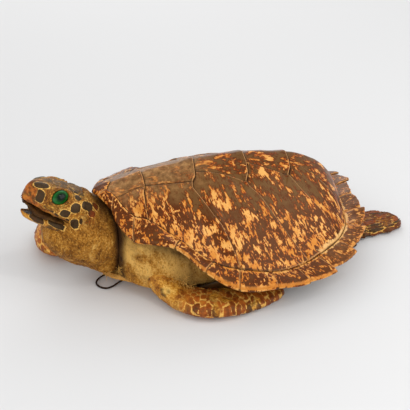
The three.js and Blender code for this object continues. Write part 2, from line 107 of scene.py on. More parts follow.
# Each scute: half or whole outline, the middle it is meshed around, the point its flames spread from.
VERTEBRALS = [
    ([[215, 0], [215, 29], *SIDE_1, *REAR_1[1:]], (160, 0), (235, 0)),
    ([*REAR_1[::-1], *SIDE_2[1:], *REAR_2[1:]], (103, 0), (205, 0)),
    ([[64.5, 0], [67.5, 17], *SIDE_3, *REAR_3[1:]], (25, 0), (130, 0)),
    ([[-8.5, 0], *SIDE_4, *REAR_4[1:]], (-38, 0), (55, 0)),
    ([[-74, 0], *SIDE_5, [-200, 62], [-200, 0]], (-115, 0), (-10, 0)),
]
COSTALS = [
    ([*SIDE_1, *SEAM_1[1:], [215, 116], [215, 29]], (155, 48), (168, -50)),
    ([*SEAM_1, [166, 180], *SEAM_2[::-1], *SIDE_2[::-1][1:-1]], (108, 68), (128, -80)),
    ([*SEAM_2, [-76, 180], *SEAM_3[::-1], *SIDE_3[::-1][1:], [70, 30]], (22, 88), (68, -80)),
    ([*SEAM_3, [-150, 150], *SEAM_4[::-1], *SIDE_4[::-1][1:], [-4, 37]], (-52, 78), (22, -70)),
    ([*SEAM_4, [-200, 128], [-200, 62], *SIDE_5[::-1], [-71, 27]], (-112, 62), (-20, -55)),
]

# A crack across the first scutes, in plan, and three chips, [x, y, radius].
CRACK = [(155, -9), (151, -17), (148, -22), (142, -34)]
CRACK_WIDTH = 1.1
CHIPS = [[-2, 82, 1.3], [-11, 81, 0.8], [79, -40, 1.6]]
# Broad amber (below 0) and dark (above 0) patches among the flames, [x, y, radius, strength].
PATCHES = [
    [137, 48, 7, -0.2], [114, 64, 7, -0.22], [50, 56, 10, -0.2], [38, 73, 8, -0.22], [12, 85, 8, -0.24],
    [-25, 35, 9, -0.2], [58, 13, 9, -0.16], [42, 13, 8, -0.16], [94, 62, 6, -0.16], [36, 108, 9, -0.16],
    [-55, 98, 9, -0.16], [-20, 99, 9, -0.12], [74, 55, 13, 0.16], [11, 57, 17, 0.2], [-24, 72, 16, 0.2],
    [-75, 56, 15, 0.16], [32, 46, 8, 0.14], [99, 45, 9, 0.16], [-58, 44, 11, 0.14], [-102, 48, 12, 0.12],
    [-59, 78, 12, 0.16], [72, 78, 13, 0.16], [34, 89, 8, 0.16], [1, 103, 11, 0.14],
]

PLASTRON = [
    [-163, 14, 6], [-150, 38, 3], [-122, 70, 0], [-76, 116, 0], [-40, 132, 0], [0, 140, 0],
    [40, 137, 0], [74, 121, 0], [100, 98, 0], [128, 76, 2], [153, 63, 7], [179, 50, 11],
    [199, 35, 13], [211, 14, 15],
]
PLASTRON_THICK = 8
PLASTRON_SEAMS = [179, 131, 66, -8, -79, -128]
BRIDGE = [
    [-163, 3], [-100, 5], [-72, 22], [-40, 30], [0, 35], [40, 42], [72, 30], [100, 9], [130, 4], [213, 3],
]
BRIDGE_FROM = 0.62
TRUNK = [
    [-146, 44], [-124, 68], [-84, 98], [-30, 121], [20, 124], [60, 117], [96, 103],
    [130, 96], [154, 86], [172, 72], [184, 52],
]
TRUNK_SINK = SCUTE + GAP + BONE + 2.2

HEAD_CENTRE = np.array([258.0, 0, 130])
HEAD_PITCH = math.radians(27)
HEAD = [
    [-50, 13, -22, 20], [-42, 19, -28, 27], [-30, 23, -26, 32], [-16, 24, -20, 33.5],
    [0, 24.4, -17, 32], [14, 23.8, -15.5, 28], [27, 21.5, -14.5, 21.5], [36, 17.6, -14, 15],
    [42, 12.2, -13.8, 8], [44.6, 4.4, -13.4, 3.5],
]
JAW = [
    [-26, -22.5, -36, 28], [-14, -21, -38.5, 26.5], [2, -22, -38.5, 22], [16, -24, -38, 16.5],
    [27, -26.5, -36.5, 10.5], [35, -28, -35, 5.5], [38, -28.6, -31.6, 2.2],
]
NECK = [
    [184.6, 25, 119, 51], [197, 22, 123, 53], [207, 20.5, 126, 52.5], [216, 20, 137, 51],
    [232, 25, 130, 46], [248, 34, 120, 41], [262, 46, 108, 33], [273, 58, 98, 24], [280, 68, 90, 12],
]
TAIL = [[-146.6, 16, 38, 17], [-158, 18, 36, 12], [-170, 20, 33, 8], [-181, 22, 29, 4]]
EYE_ALONG, EYE_SIDE, EYE_HIGH, EYE_RADIUS = 3.4, 22.1, 13.1, 13
EYE_SLANT = math.radians(42)
EYE_LEAN = math.radians(35)
EYE_FLATTEN = (1, 0.55, 0.76)
LID_LENGTH, LID_HEIGHT = 0.91, 0.69
# The neck's folds ring this point, a step apart.
THROAT = np.array([268.0, 0, 96])
FOLD_STEP = 5.8
# The size of the granules of the skin, and the plates' roundness, growth and reach inwards.
GRAIN = 3.1
PLATE_POWER, PLATE_GROWTH, PLATE_DEPTH = 2.6, 1.12, 9

# Horny plates of the face: [along, side, high, half length, half height, turn in degrees, darkness].
FACE_PLATES = [
    [29, 11.3, 18.4, 8.4, 4.4, -10, 1], [27.4, 20.5, 6.6, 4.6, 7.5, 0, 0.9],
    [-20.4, 21.5, 20, 4.6, 3.4, 0, 1], [-19.8, 30.9, 8.9, 7, 5.8, 10, 1],
    [-35.3, 24.6, 13.7, 6.6, 5.6, 0, 1], [-8.9, 31.1, -1.5, 6.2, 5.6, 0, 1],
    [-42.2, 35.2, 9.5, 4.6, 3.8, 0, 0.62], [-26.1, 31.3, -10.1, 5.4, 4.6, 0, 1],
    [-32.9, 34.5, -4.5, 1.7, 2.8, 0, 1], [-7.8, 21.6, -25.5, 11.5, 3.8, -4, 1],
    [17, 14, -28.5, 8.5, 4, -6, 0.85], [-17.1, 13.1, 23.6, 3, 2.2, 0, 1],
    [9.9, 26.3, -3.9, 4.4, 2, -10, 0.9], [0, 30, -8.5, 3.4, 1.8, -15, 0.9],
    [16, 24, -2.5, 3, 1.8, -20, 0.8], [-16, 32, -10.5, 3, 2, -20, 0.8], [-47, 18, 13, 5, 5, 0, 0.7],
]

# Flipper sections: [leading x, y, trailing x, y, half thickness, lowest z].
FRONT_LEFT = [
    [157, 60, 122, 66, 25, 14], [154, 84, 114, 84, 21, 8], [144, 104, 105, 93, 16, 2.5],
    [127, 133, 93, 98, 13, 0], [98, 158, 77, 100, 12, 0], [62, 166, 53, 104, 11, 0],
    [27, 161, 27, 105, 9, 0], [3, 153, 6, 108, 7.5, 0], [-16, 142, -10, 112, 5.5, 0.3],
    [-28, 128, -23, 118, 3, 1],
]
FRONT_RIGHT = [
    [160, -62, 150, -96, 22, 10], [190, -60, 178, -100, 20, 5], [226, -54, 206, -102, 17, 2],
    [260, -49, 228, -104, 16, 0], [281, -78, 238, -109, 16, 0], [274, -126, 234, -116, 14, 0],
    [246, -158, 216, -125, 12, 0], [208, -182, 184, -138, 10, 0], [165, -196, 150, -153, 8, 0],
    [128, -200, 122, -170, 6, 0.3], [108, -194, 106, -184, 3, 1],
]
HIND_LEFT = [
    [-116, 86, -132, 44, 15, 14], [-140, 80, -150, 34, 12, 8], [-166, 58, -174, 12, 9, 3],
    [-190, 34, -198, -20, 8, 0], [-217, 29, -223, -33, 7.5, 0], [-245, 26, -248, -29, 7, 0],
    [-262, 19, -265, -17, 6, 0], [-271, 8, -272, -5, 3.5, 1],
]
HIND_RIGHT = [
    [-116, -86, -132, -44, 15, 14], [-140, -96, -160, -56, 12, 7], [-166, -112, -184, -70, 9, 2],
    [-192, -126, -208, -82, 8, 0], [-214, -132, -226, -94, 7, 0], [-230, -128, -236, -104, 4.5, 0.6],
]
FLIPPER_STEP = 1.35

WIRE_RADIUS = 1.3
WIRE = [
    [178, 16, 8.6], [190, 13, 7.2], [203, 14.5, 5], [211.5, 19.5, 3.4], [215, 27, 2.6],
    [212, 36, 2], [204, 42, 1.9], [194, 41, 3], [182, 35.5, 5], [168, 30, 6],
]
# Where fibres are torn from the skin: from and to a point, their number and their length.
FRAY = [
    [(205, 34, 22), (150, 66, 20), 150, 8], [(186, 52, 40), (184, 50, 26), 40, 8],
    [(128, 100, 36), (96, 112, 26), 46, 8], [(112, 110, 34), (108, 108, 40), 22, 13],
]

# The studio, in metres and watts. Square lamps: name, place, size and power.
LIGHTS = [
    ("key", (-1.2, 1.1, 1.2), 1.7, 18), ("front", (1.3, 1.4, 0.6), 1.5, 9),
    ("back", (-0.3, -2.1, 1.4), 2.0, 14), ("glint", (-0.34, 0.77, 1.8), 0.12, 2.4),
]
LIT_POINT = (0, 0, 0.05)
SKY_STRENGTH = 0.78
FLOOR_REACH = 6.0
# Where the camera stands and looks, and its lens on a 36 mm sensor.
CAMERA_AT = (0.3870, 1.0695, 0.7079)
CAMERA_TO = (0.0422, -0.0134, 0.0778)
LENS = 78.63
SENSOR = 36

# ---------------------------------------------------------------- small tools


def through(rows, at, column=1):
    """A smooth curve through rows of [position, value, ...], read at many positions."""
    rows = np.asarray(rows, float)
    x, y = rows[:, 0], rows[:, column]
    secant = np.diff(y) / np.diff(x)
    slope = np.concatenate([secant[:1], (secant[1:] + secant[:-1]) / 2, secant[-1:]])
    p = np.clip(at, x[0], x[-1])
    i = np.clip(np.searchsorted(x, p, side="right") - 1, 0, len(x) - 2)
    span = x[i + 1] - x[i]
    t = (p - x[i]) / span
    near = (2 * t**3 - 3 * t**2 + 1) * y[i] + (t**3 - 2 * t**2 + t) * span * slope[i]
    far = (3 * t**2 - 2 * t**3) * y[i + 1] + (t**3 - t**2) * span * slope[i + 1]
    return near + far


def curve(rows, at):
    """Points on the curve through rows of [position, x, y, z]."""
    return np.stack([through(rows, at, k) for k in (1, 2, 3)], -1)


def columns(rows, at):
    """Every value of a table of rows, each as one number a ring."""
    return [through(rows, at, k)[:, None] for k in range(1, len(rows[0]))]


def points_of(*coordinates):
    return np.stack(np.broadcast_arrays(*coordinates), -1)


def parts(points):
    """The coordinates of points, one array each."""
    return np.moveaxis(points, -1, 0)


def unit(vectors):
    return vectors / np.maximum(1e-9, np.linalg.norm(vectors, axis=-1, keepdims=True))


def lengths_along(points, power=1):
    """Running length of a path at its points, with each step raised to a power."""
    steps = np.linalg.norm(np.diff(points, axis=0), axis=-1) ** power
    return np.concatenate([[0], np.cumsum(steps)])


def full_turn(count):
    return np.linspace(0, 2 * np.pi, count, endpoint=False)[None]


def turned(a, b, angle):
    """Two coordinates turned by an angle."""
    c, s = math.cos(angle), math.sin(angle)
    return a * c - b * s, a * s + b * c


def smoothstep(value, low, high):
    t = np.clip((value - low) / (high - low), 0, 1)
    return t * t * (3 - 2 * t)


def bell(value, width):
    return np.exp(-((value / width) ** 2))


def mix(a, b, t):
    return a + (b - a) * t


def noise(points, size, seed=0):
    """Smooth noise from -1 to 1 with features of a given size."""
    at = np.asarray(points, float) / size
    cell = np.floor(at).astype(np.int64)
    t = at - cell
    t = t * t * (3 - 2 * t)
    total = np.zeros(at.shape[:-1])
    for corner in itertools.product((0, 1), repeat=3):
        c = cell + np.array(corner)
        h = (c[..., 0] * 73856093) ^ (c[..., 1] * 19349663) ^ (c[..., 2] * 83492791) ^ (seed * 40503 + 977)
        h = ((h ^ (h >> 13)) * 1274126177) & 0xFFFFFFFF
        h = ((h ^ (h >> 16)) * 668265263) & 0xFFFFFFFF
        value = (h >> 8 & 0xFFFF) / 32767.5 - 1
        total += value * np.prod(np.where(np.array(corner) == 1, t, 1 - t), axis=-1)
    return total


def rough(points, size, octaves=3, seed=0):
    """Noise with finer noise on it."""
    return sum(noise(points, size / 2**k, seed + k) / 2**k for k in range(octaves))


def outward(rings):
    """Unit normals of a ringed surface, pointing away from the rings' middles."""
    around = np.roll(rings, -1, 1) - np.roll(rings, 1, 1)
    normal = unit(np.cross(around, np.gradient(rings, axis=0)))
    away = rings - rings.mean(axis=1, keepdims=True)
    return normal * np.sign((normal * away).sum() or 1)


def swollen(rings, by):
    """Rings pushed outwards by a height at each point."""
    return rings + outward(rings) * by[..., None]


def skewed(points):
    """The shell's skew: its right rear quarter is drawn backwards and up."""
    x, y, z = parts(points)
    s = smoothstep(SKEW_START - x, 0, SKEW_ALONG) * smoothstep(-y, 0, SKEW_ACROSS)
    return points_of(x - SKEW_BACK * s, y, z + SKEW_UP * s)


def ring_faces(rows, count, caps):
    """Faces of a body skinned over closed rings. caps is "fan" or "fold" (a flat ring, folded on 0)."""
    index = np.arange(rows * count).reshape(rows, count)
    a, d = index[:-1], index[1:]
    faces = np.stack([a, np.roll(a, -1, 1), np.roll(d, -1, 1), d], -1).reshape(-1, 4).tolist()
    for ring, middle, flip in ((index[0], rows * count, True), (index[-1], rows * count + 1, False)):
        if caps == "fan":
            cap = [[ring[i], ring[(i + 1) % count], middle] for i in range(count)]
        else:
            half = count // 2
            cap = [[ring[i], ring[i + 1], ring[-i - 1], ring[-i]] for i in range(1, half - 1)]
            cap += [[ring[0], ring[1], ring[-1]], [ring[half - 1], ring[half], ring[half + 1]]]
        faces += [[int(v) for v in (f[::-1] if flip else f)] for f in cap]
    return faces


def flattened(values, caps):
    """Values at ring points as one list, with the middles of the end rings added for a fan."""
    middles = [values[end].mean(0)[None] for end in (0, -1) if caps == "fan"]
    return np.concatenate([values.reshape(-1, *values.shape[2:]), *middles])


def add_piece(name, points, faces, material, slot, node=None, **attributes):
    """A mesh object that rides on the body, and stands for a CAD node if one is given."""
    a, b, c = (points[[f[k] for f in faces]] for k in range(3))
    d = points[[f[-1] for f in faces]]
    volume = (a * np.cross(b, c)).sum() + (a * np.cross(c, d)).sum()
    mesh = bpy.data.meshes.new(name)
    mesh.from_pydata((points * MM).tolist(), [], [f[::-1] for f in faces] if volume < 0 else faces)
    for key, values in attributes.items():
        vector = np.ndim(values) == 2
        values = values if vector else np.broadcast_to(values, len(points))
        layer = mesh.attributes.new(key, "FLOAT_VECTOR" if vector else "FLOAT", "POINT")
        layer.data.foreach_set("vector" if vector else "value", values.astype(np.float32).ravel())
    mesh.polygons.foreach_set("use_smooth", [True] * len(mesh.polygons))
    mesh.materials.append(material)
    mesh.update()
    piece = bpy.data.objects.new(name, mesh)
    bpy.context.scene.collection.objects.link(piece)
    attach(piece, "root")
    if node:
        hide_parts(node)


def add_rings(name, rings, material, slot, caps="fan", in_cad=True, **attributes):
    """A piece skinned over rings, with an attribute value at each ring point or one for all."""
    shape = rings.shape[:2]
    flat = {
        key: flattened(values if np.ndim(values) == 3 else np.broadcast_to(values, shape), caps)
        for key, values in attributes.items()
    }
    add_piece(
        name + "_fine" * in_cad, flattened(rings, caps), ring_faces(*shape, caps), material, slot,
        name if in_cad else None, **flat,
    )


def cells(points, seeds):
    """Distances to the nearest and second nearest seed, and the nearest seed's number."""
    tree = kdtree.KDTree(len(seeds))
    for i, seed in enumerate(seeds):
        tree.insert(Vector(seed), i)
    tree.balance()
    found = [tree.find_n(Vector(p), 2) for p in points.reshape(-1, 3)]
    picked = [[near[2], far[2], near[1]] for near, far in found]
    near, far, number = parts(np.array(picked).reshape(*points.shape[:-1], 3))
    return near, far, number.astype(int)


# ---------------------------------------------------------------- materials


def paint(red, green, blue):
    """A colour given as 0-255 screen values."""
    shares = [value / 255 for value in (red, green, blue)]
    return (*(s / 12.92 if s < 0.04045 else ((s + 0.055) / 1.055) ** 2.4 for s in shares), 1)


class Field:
    """A number that varies over a surface. Arithmetic on it becomes Math nodes."""

    def __init__(self, surface, socket):
        self.surface = surface
        self.socket = socket

    def __add__(self, other):
        return self.surface.maths("ADD", self, other)

    def __sub__(self, other):
        return self.surface.maths("SUBTRACT", self, other)

    def __rsub__(self, other):
        return self.surface.maths("SUBTRACT", other, self)

    def __mul__(self, other):
        return self.surface.maths("MULTIPLY", self, other)


class Surface:
    """A procedural material, built node by node."""

    def __init__(self, name, **constants):
        self.material = bpy.data.materials.new(name)
        self.material.use_nodes = True
        self.tree = self.material.node_tree
        self.tree.nodes.clear()
        self.shader = self.tree.nodes.new("ShaderNodeBsdfPrincipled")
        end = self.tree.nodes.new("ShaderNodeOutputMaterial")
        self.tree.links.new(self.shader.outputs[0], end.inputs["Surface"])
        for key, value in constants.items():
            self.put(self.shader.inputs[key.replace("_", " ")], value)

    def put(self, socket, value):
        if isinstance(value, Field):
            value = value.socket
        if isinstance(value, bpy.types.NodeSocket):
            self.tree.links.new(value, socket)
        else:
            socket.default_value = value

    def add(self, kind, inputs, **settings):
        node = self.tree.nodes.new("ShaderNode" + kind)
        for key, value in settings.items():
            setattr(node, key, value)
        for key, value in inputs.items():
            self.put(node.inputs[key], value)
        return node

    def number(self, name):
        return Field(self, self.add("Attribute", {}, attribute_name=name).outputs["Fac"])

    def vector(self, name):
        return self.add("Attribute", {}, attribute_name=name).outputs["Vector"]

    def place(self):
        return self.add("TexCoord", {}).outputs["Object"]

    def scaled(self, vector, by, shift=(0, 0, 0)):
        return self.add("VectorMath", {0: vector, 1: by, 2: shift}, operation="MULTIPLY_ADD").outputs[0]

    def noise(self, vector, scale, detail=3.0, roughness=0.55, distortion=0.0):
        inputs = {
            "Vector": vector, "Scale": scale, "Detail": detail, "Roughness": roughness,
            "Distortion": distortion,
        }
        return Field(self, self.add("TexNoise", inputs).outputs[0])

    def maths(self, operation, a, b):
        return Field(self, self.add("Math", {0: a, 1: b}, operation=operation).outputs[0])

    def step(self, value, low, high, start=0.0, end=1.0):
        inputs = {"Value": value, "From Min": low, "From Max": high, "To Min": start, "To Max": end}
        return Field(self, self.add("MapRange", inputs, interpolation_type="SMOOTHSTEP").outputs[0])

    def ramp(self, value, stops):
        node = self.add("ValToRGB", {"Fac": value})
        while len(node.color_ramp.elements) < len(stops):
            node.color_ramp.elements.new(0.5)
        for element, (position, colour) in zip(node.color_ramp.elements, stops):
            element.position = position
            element.color = paint(*colour)
        return node.outputs["Color"]

    def blend(self, factor, a, b):
        node = self.add("Mix", {0: factor}, data_type="RGBA")
        self.put(node.inputs[6], paint(*a) if isinstance(a, tuple) else a)
        self.put(node.inputs[7], paint(*b) if isinstance(b, tuple) else b)
        return node.outputs[2]

    def finish(self, colour, roughness, height, distance, strength=1.0):
        """Connects colour and roughness, and a bump of the height field, in metres."""
        self.put(self.shader.inputs["Base Color"], colour)
        self.put(self.shader.inputs["Roughness"], roughness)
        bump = self.add("Bump", {"Height": height, "Distance": distance, "Strength": strength})
        self.put(self.shader.inputs["Normal"], bump.outputs[0])
        return self.material


# Old shellac reflects warmly.
SHELLAC = (1.0, 0.74, 0.42, 1.0)

PALE_AMBER = (228, 168, 90)
AMBER = (206, 130, 48)
ORANGE = (176, 88, 22)
RED_BROWN = (126, 50, 10)
DARK = (84, 38, 8)
# The darkest flames near the dome's top: olive-brown, lightened as painted sheen.
OLIVE_DARK = (102, 68, 34)
# A light olive veil: painted sheen over the top of the dome's front, and an olive-brown on the rear marginals
# that is lightened as painted sheen.
OLIVE_AND_SHEEN_COLOURS = [(0.36, (104, 72, 40)), (0.52, (158, 114, 68)), (0.66, (206, 154, 96))]
CREAM = (226, 178, 112)
# The pale line on the plates' lifted rear edges: partly the thin horn's own paler colour, partly a painted
# highlight.
PALE_EDGE = (206, 150, 92)
RIM_AMBER = (190, 116, 42)
# Painted shadow along a seam, on the front edge of the plate that lies under a lifted rear edge.
SEAM_SHADOW_BROWN = (44, 20, 6)
CRACK_BROWN = (38, 20, 8)
UNDERSIDE = (96, 62, 30)
BONE_COLOURS = [(0.3, (74, 52, 32)), (0.55, (150, 116, 72)), (0.75, (214, 184, 132))]
PLASTRON_COLOURS = [(0.3, (214, 160, 82)), (0.5, (190, 126, 52)), (0.66, (128, 74, 30)), (0.8, (84, 50, 26))]
# The plastron's grooves (dark joints), also laid over the painted shade where its sides lie under the
# carapace rim; the deepest painted shade is near black.
GROOVE_AND_SHADE_BROWN = (82, 52, 26)
GRIME = (96, 62, 32)
BRIDGE_SHADE_BLACK = (20, 11, 5)
SKIN_COLOURS = [(0.38, (80, 42, 8)), (0.47, (126, 76, 18)), (0.54, (174, 116, 38)), (0.66, (222, 172, 90))]
PALE_FIBRE = (226, 180, 92)
DARK_FIBRE = (76, 40, 10)
# Painted shade in folds, hollows and under the shell, also used for random dark patches and the joints
# between granules.
SHADE_AND_STAIN_BROWN = (52, 28, 12)
# Plates and scales, from amber over red-brown to slate and the crown's olive.
PLATE_COLOURS = [
    (0.0, (210, 132, 48)), (0.2, (168, 84, 24)), (0.38, (112, 46, 12)), (0.56, (64, 38, 16)),
    (0.7, (50, 36, 22)), (0.98, (92, 66, 34)),
]
SCALE_BORDER = (232, 178, 88)
GROUND_COLOURS = [(0.36, (98, 50, 10)), (0.47, (160, 98, 26)), (0.56, (204, 142, 48)), (0.68, (236, 188, 96))]
# Painted shade in the face's hollows and the mouth, also used for random dark patches on the flippers and the
# joints between granules.
GROUND_SHADE_AND_STAIN = (40, 22, 10)
# The glass eye, from its pupil out to its rim.
EYE_COLOURS = [
    (0.2, (0, 6, 2)), (0.46, (2, 26, 8)), (0.64, (6, 66, 18)), (0.84, (20, 98, 32)), (0.95, (10, 60, 20)),
    (1.0, (3, 24, 10)),
]
IRON_COLOURS = [(0.35, (34, 28, 25)), (0.6, (62, 42, 32)), (0.75, (110, 62, 34))]


def varnished(name, ior, specular, coat, coat_roughness):
    return Surface(
        name, IOR=ior, Specular_IOR_Level=specular, Specular_Tint=SHELLAC, Coat_Weight=coat,
        Coat_Roughness=coat_roughness,
    )


def tortoiseshell():
    """Varnished horn: dark ragged flames on amber, spreading out of each scute's oldest point."""
    s = varnished("tortoiseshell", 1.5, 0.24, 0.05, 0.2)
    place = s.place()
    flame = s.vector("spread")
    seed = s.vector("seeded")
    outer = s.number("outer")
    coarse = s.noise(s.scaled(flame, (9.5, 9.5, 5.2), seed), 1.0, 3.0, 0.55, 0.7)
    spiky = s.noise(s.scaled(flame, (30.0, 30.0, 9.0), seed), 1.0, 3.0, 0.62, 0.6)
    fine = s.noise(s.scaled(flame, (74.0, 74.0, 16.0), seed), 1.0, 2.0, 0.6, 0.4)
    ragged = s.noise(place, 420.0, 3.0, 0.6)
    cloud = s.noise(place, 38.0, 3.0)
    body = (coarse - 0.5) * s.step(outer, 0.3, 1.0, 1.35, 0.95)
    body += (spiky - 0.5) * s.step(outer, 0.0, 0.8, 1.05, 1.6)
    body += (fine - 0.5) * s.step(outer, 0.2, 0.9, 0.6, 1.15)
    body += (ragged - 0.5) * 0.3
    body += s.number("shade") + 0.5
    colour = s.blend(s.step(cloud, 0.38, 0.62), AMBER, PALE_AMBER)
    for low, high, darker in ((0.38, 0.47, ORANGE), (0.45, 0.52, RED_BROWN), (0.5, 0.57, DARK)):
        colour = s.blend(s.step(body, low, high), colour, darker)
    # The darkest flames are olive towards the dome's top and dark red-brown lower down; the olive is
    # lightened there as painted sheen.
    heart = s.blend(s.step(cloud * 1.4 + outer, 1.45, 0.85), DARK, OLIVE_DARK)
    depth = (s.noise(place, 150.0, 4.0, 0.65) - 0.5) * 0.5 + body
    colour = s.blend(s.step(depth, 0.57, 0.76), colour, heart)
    # The veil: painted sheen along the dome's top front, and a lightened olive-brown on the rear marginals.
    colour = s.blend(s.number("olive"), colour, s.ramp(s.noise(place, 110.0, 4.0, 0.65), OLIVE_AND_SHEEN_COLOURS))
    seam = s.number("seam")
    pale = s.number("pale")
    # The pale line on each plate's lifted rear edge is partly the thin horn's paler colour and partly a
    # painted highlight where the edge catches light.
    edge = s.step(ragged * 1.4 + seam, 1.0, 2.0, 0.72, 0.0)
    colour = s.blend(edge * pale, colour, PALE_EDGE)
    # Painted shadow: a dark line on each plate's front edge, where the lifted rear edge of the plate before
    # it shades it.
    seam_shadow = s.step(ragged * 1.2 + seam, 1.0, 3.2, 0.8, 0.0)
    colour = s.blend(seam_shadow * (1.0 - pale), colour, SEAM_SHADOW_BROWN)
    worn = ragged * 0.9 + s.noise(place, 95.0, 4.0, 0.7) * 1.7 + s.number("worn")
    colour = s.blend(s.step(worn, 1.92, 2.12), colour, CREAM)
    colour = s.blend(s.step(ragged * 0.16 + s.number("rim"), 0.97, 1.08, 0.0, 0.85), colour, RIM_AMBER)
    colour = s.blend(s.step(s.number("crack"), 0.2, 0.6, 0.0, 0.85), colour, CRACK_BROWN)
    colour = s.blend(s.number("under"), colour, UNDERSIDE)
    scratches = s.noise(s.scaled(flame, (120.0, 120.0, 5.0)), 1.0, 2.0)
    gloss = s.noise(place, 90.0, 3.0) * 0.25 + 0.2
    return s.finish(colour, gloss, scratches * 0.7 + s.noise(place, 240.0, 3.0), 0.00045, 0.7)


def bone_surface():
    s = Surface("bone", IOR=1.45)
    place = s.place()
    colour = s.ramp(s.noise(place, 70.0, 4.0, 0.65), BONE_COLOURS)
    return s.finish(colour, 0.7, s.noise(place, 500.0, 4.0), 0.0006)


def plastron_surface():
    s = varnished("plastron_horn", 1.5, 0.3, 0.05, 0.3)
    place = s.place()
    # The first noise is random grime mottling.
    grime_and_shade = s.noise(place, 160.0, 4.0, 0.7)
    groove = s.number("groove")
    colour = s.ramp(s.noise(place, 26.0, 4.0, 0.6, 0.8), PLASTRON_COLOURS)
    # The groove attribute: up to 1 the grooves between the plates, with painted shade added at the bridge and
    # under the carapace rim; past 1 it is painted shade only, near black.
    colour = s.blend(s.step(groove, 0.2, 1.0, 0.0, 0.8), colour, GROOVE_AND_SHADE_BROWN)
    colour = s.blend(s.step(grime_and_shade, 0.56, 0.75, 0.0, 0.5), colour, GRIME)
    colour = s.blend(s.step(groove, 1.1, 1.9, 0.0, 0.95), colour, BRIDGE_SHADE_BLACK)
    return s.finish(colour, grime_and_shade * 0.35 + 0.28, grime_and_shade + s.noise(place, 700.0, 2.0), 0.0005)


def skin_surface():
    """Dried, varnished skin: golden leather with fine fibres, darker with painted shade in its creases,
    hollows and under the shell, and with some random dark marks.
    """
    s = varnished("skin", 1.45, 0.25, 0.03, 0.35)
    place = s.place()
    cloud = s.noise(place, 30.0, 5.0, 0.65, 0.6)
    grain = s.noise(place, 360.0, 4.0, 0.7)
    fibre = s.noise(s.scaled(place, (1.0, 1.0, 0.3)), 620.0, 3.0, 0.7, 1.4)
    colour = s.ramp(grain * 0.4 + cloud * 0.6 + s.number("bright"), SKIN_COLOURS)
    colour = s.blend(s.step(fibre, 0.56, 0.68, 0.0, 0.7), colour, PALE_FIBRE)
    colour = s.blend(s.step(fibre, 0.45, 0.33, 0.0, 0.7), colour, DARK_FIBRE)
    colour = s.blend(s.number("crease"), colour, SHADE_AND_STAIN_BROWN)
    return s.finish(add_scales(s, colour, place), grain * -0.35 + 0.78, fibre * 0.9 + grain, 0.0012)


def add_scales(s, colour, place):
    """Plates and scales, from the attributes scaled (how much), border (0 at a scale's edge) and tone.

    The tone runs from amber (0) over red-brown to slate (1), and on to the crown's olive (1.4).
    """
    speck = s.noise(place, 650.0, 3.0, 0.7)
    blotch = s.noise(place, 170.0, 3.0, 0.6)
    plate = s.ramp(((blotch - 0.5) * 0.7 + s.number("tone")) * 0.7, PLATE_COLOURS)
    ragged = (speck - 0.5) * 0.5 + s.number("border")
    plate = s.blend(s.step(ragged, 0.36, 0.2), plate, SCALE_BORDER)
    return s.blend(s.number("scaled"), colour, plate)


def scale_surface(name):
    s = varnished(name, 1.5, 0.3, 0.08, 0.25)
    place = s.place()
    grain = s.noise(place, 520.0, 4.0, 0.7)
    cloud = s.noise(place, 60.0, 3.0, 0.6)
    ground = s.ramp(grain * 0.6 + cloud * 0.4 + s.number("bright"), GROUND_COLOURS)
    # Darkening: painted shade in hollows, with random dark patches and the joints between granules.
    ground = s.blend(s.number("crease"), ground, GROUND_SHADE_AND_STAIN)
    return s.finish(add_scales(s, ground, place), grain * 0.4 + 0.26, cloud * 0.4 + grain, 0.0008)


def eye_surface():
    s = Surface("eye_glass", IOR=1.52, Specular_IOR_Level=0.12, Coat_Weight=0.12, Coat_Roughness=0.02)
    swirl = s.noise(s.place(), 320.0, 3.0)
    return s.finish(s.ramp(swirl * 0.12 + s.number("front"), EYE_COLOURS), 0.06, swirl, 0.00002)


def iron_surface():
    s = Surface("iron_wire", Metallic=0.75)
    rust = s.noise(s.place(), 600.0, 4.0, 0.7)
    return s.finish(s.ramp(rust, IRON_COLOURS), s.step(rust, 0.3, 0.7, 0.42, 0.75), rust, 0.0004)


# ---------------------------------------------------------------- the shell's surfaces


def by_x(rows):
    return sorted((row[1:] for row in rows), key=lambda row: row[0])


FLANK = by_x([*INNER[2:], [0, 190, 10, 143]])
EDGE = by_x(RIM[1:])


def flank_y(x):
    return np.maximum(3, through(FLANK, x, 1))


def dome(x, y):
    """Height of the dome inside the marginal scutes."""
    keel = through(KEEL, x)
    fall = np.minimum(1.03, np.abs(y) / flank_y(x)) ** through(ARCH, x)
    return keel - (keel - through(FLANK, x, 2)) * fall


def shell_top(x, y):
    inner = flank_y(x)
    share = np.clip((np.abs(y) - inner) / np.maximum(8, through(EDGE, x, 1) - inner), 0, 1)
    outside = mix(through(FLANK, x, 2), through(EDGE, x, 2), share)
    return np.where(np.abs(y) <= inner, dome(x, y), outside)


def band_point(seam, across, notch_from=None):
    """Points of the marginal band, for seams (rows) and shares of the way to the rim (columns)."""
    rim, inner = curve(RIM, seam), curve(INNER, seam)
    if notch_from is not None:
        depth = through(NOTCH, notch_from) * (1 - (seam - notch_from)) ** 1.5
        rim = rim + unit(inner - rim) * depth[:, None]
    a = across[None, :, None]
    points = inner[:, None] * (1 - a) + rim[:, None] * a
    points[..., 2] += 4 * across * (1 - across)
    return points


def flames(points, source):
    """Polar coordinates around the point a scute's flames spread from.

    Two columns are its direction, scaled so that flames are equally wide on every scute, and the
    third is its distance in units of 100 mm.
    """
    offset = points - np.array(source)
    distance = np.linalg.norm(offset, axis=-1, keepdims=True)
    direction = offset[..., :2] / distance * np.median(distance) / FLAME_RADIUS
    return np.concatenate([direction, distance / 100], -1)


# ---------------------------------------------------------------- carapace


def around_loop(values_left):
    """A loop down the left side and back up the right, from values for the left side."""
    return np.concatenate([values_left, values_left[1:-1][::-1] * [1, -1, 1]])


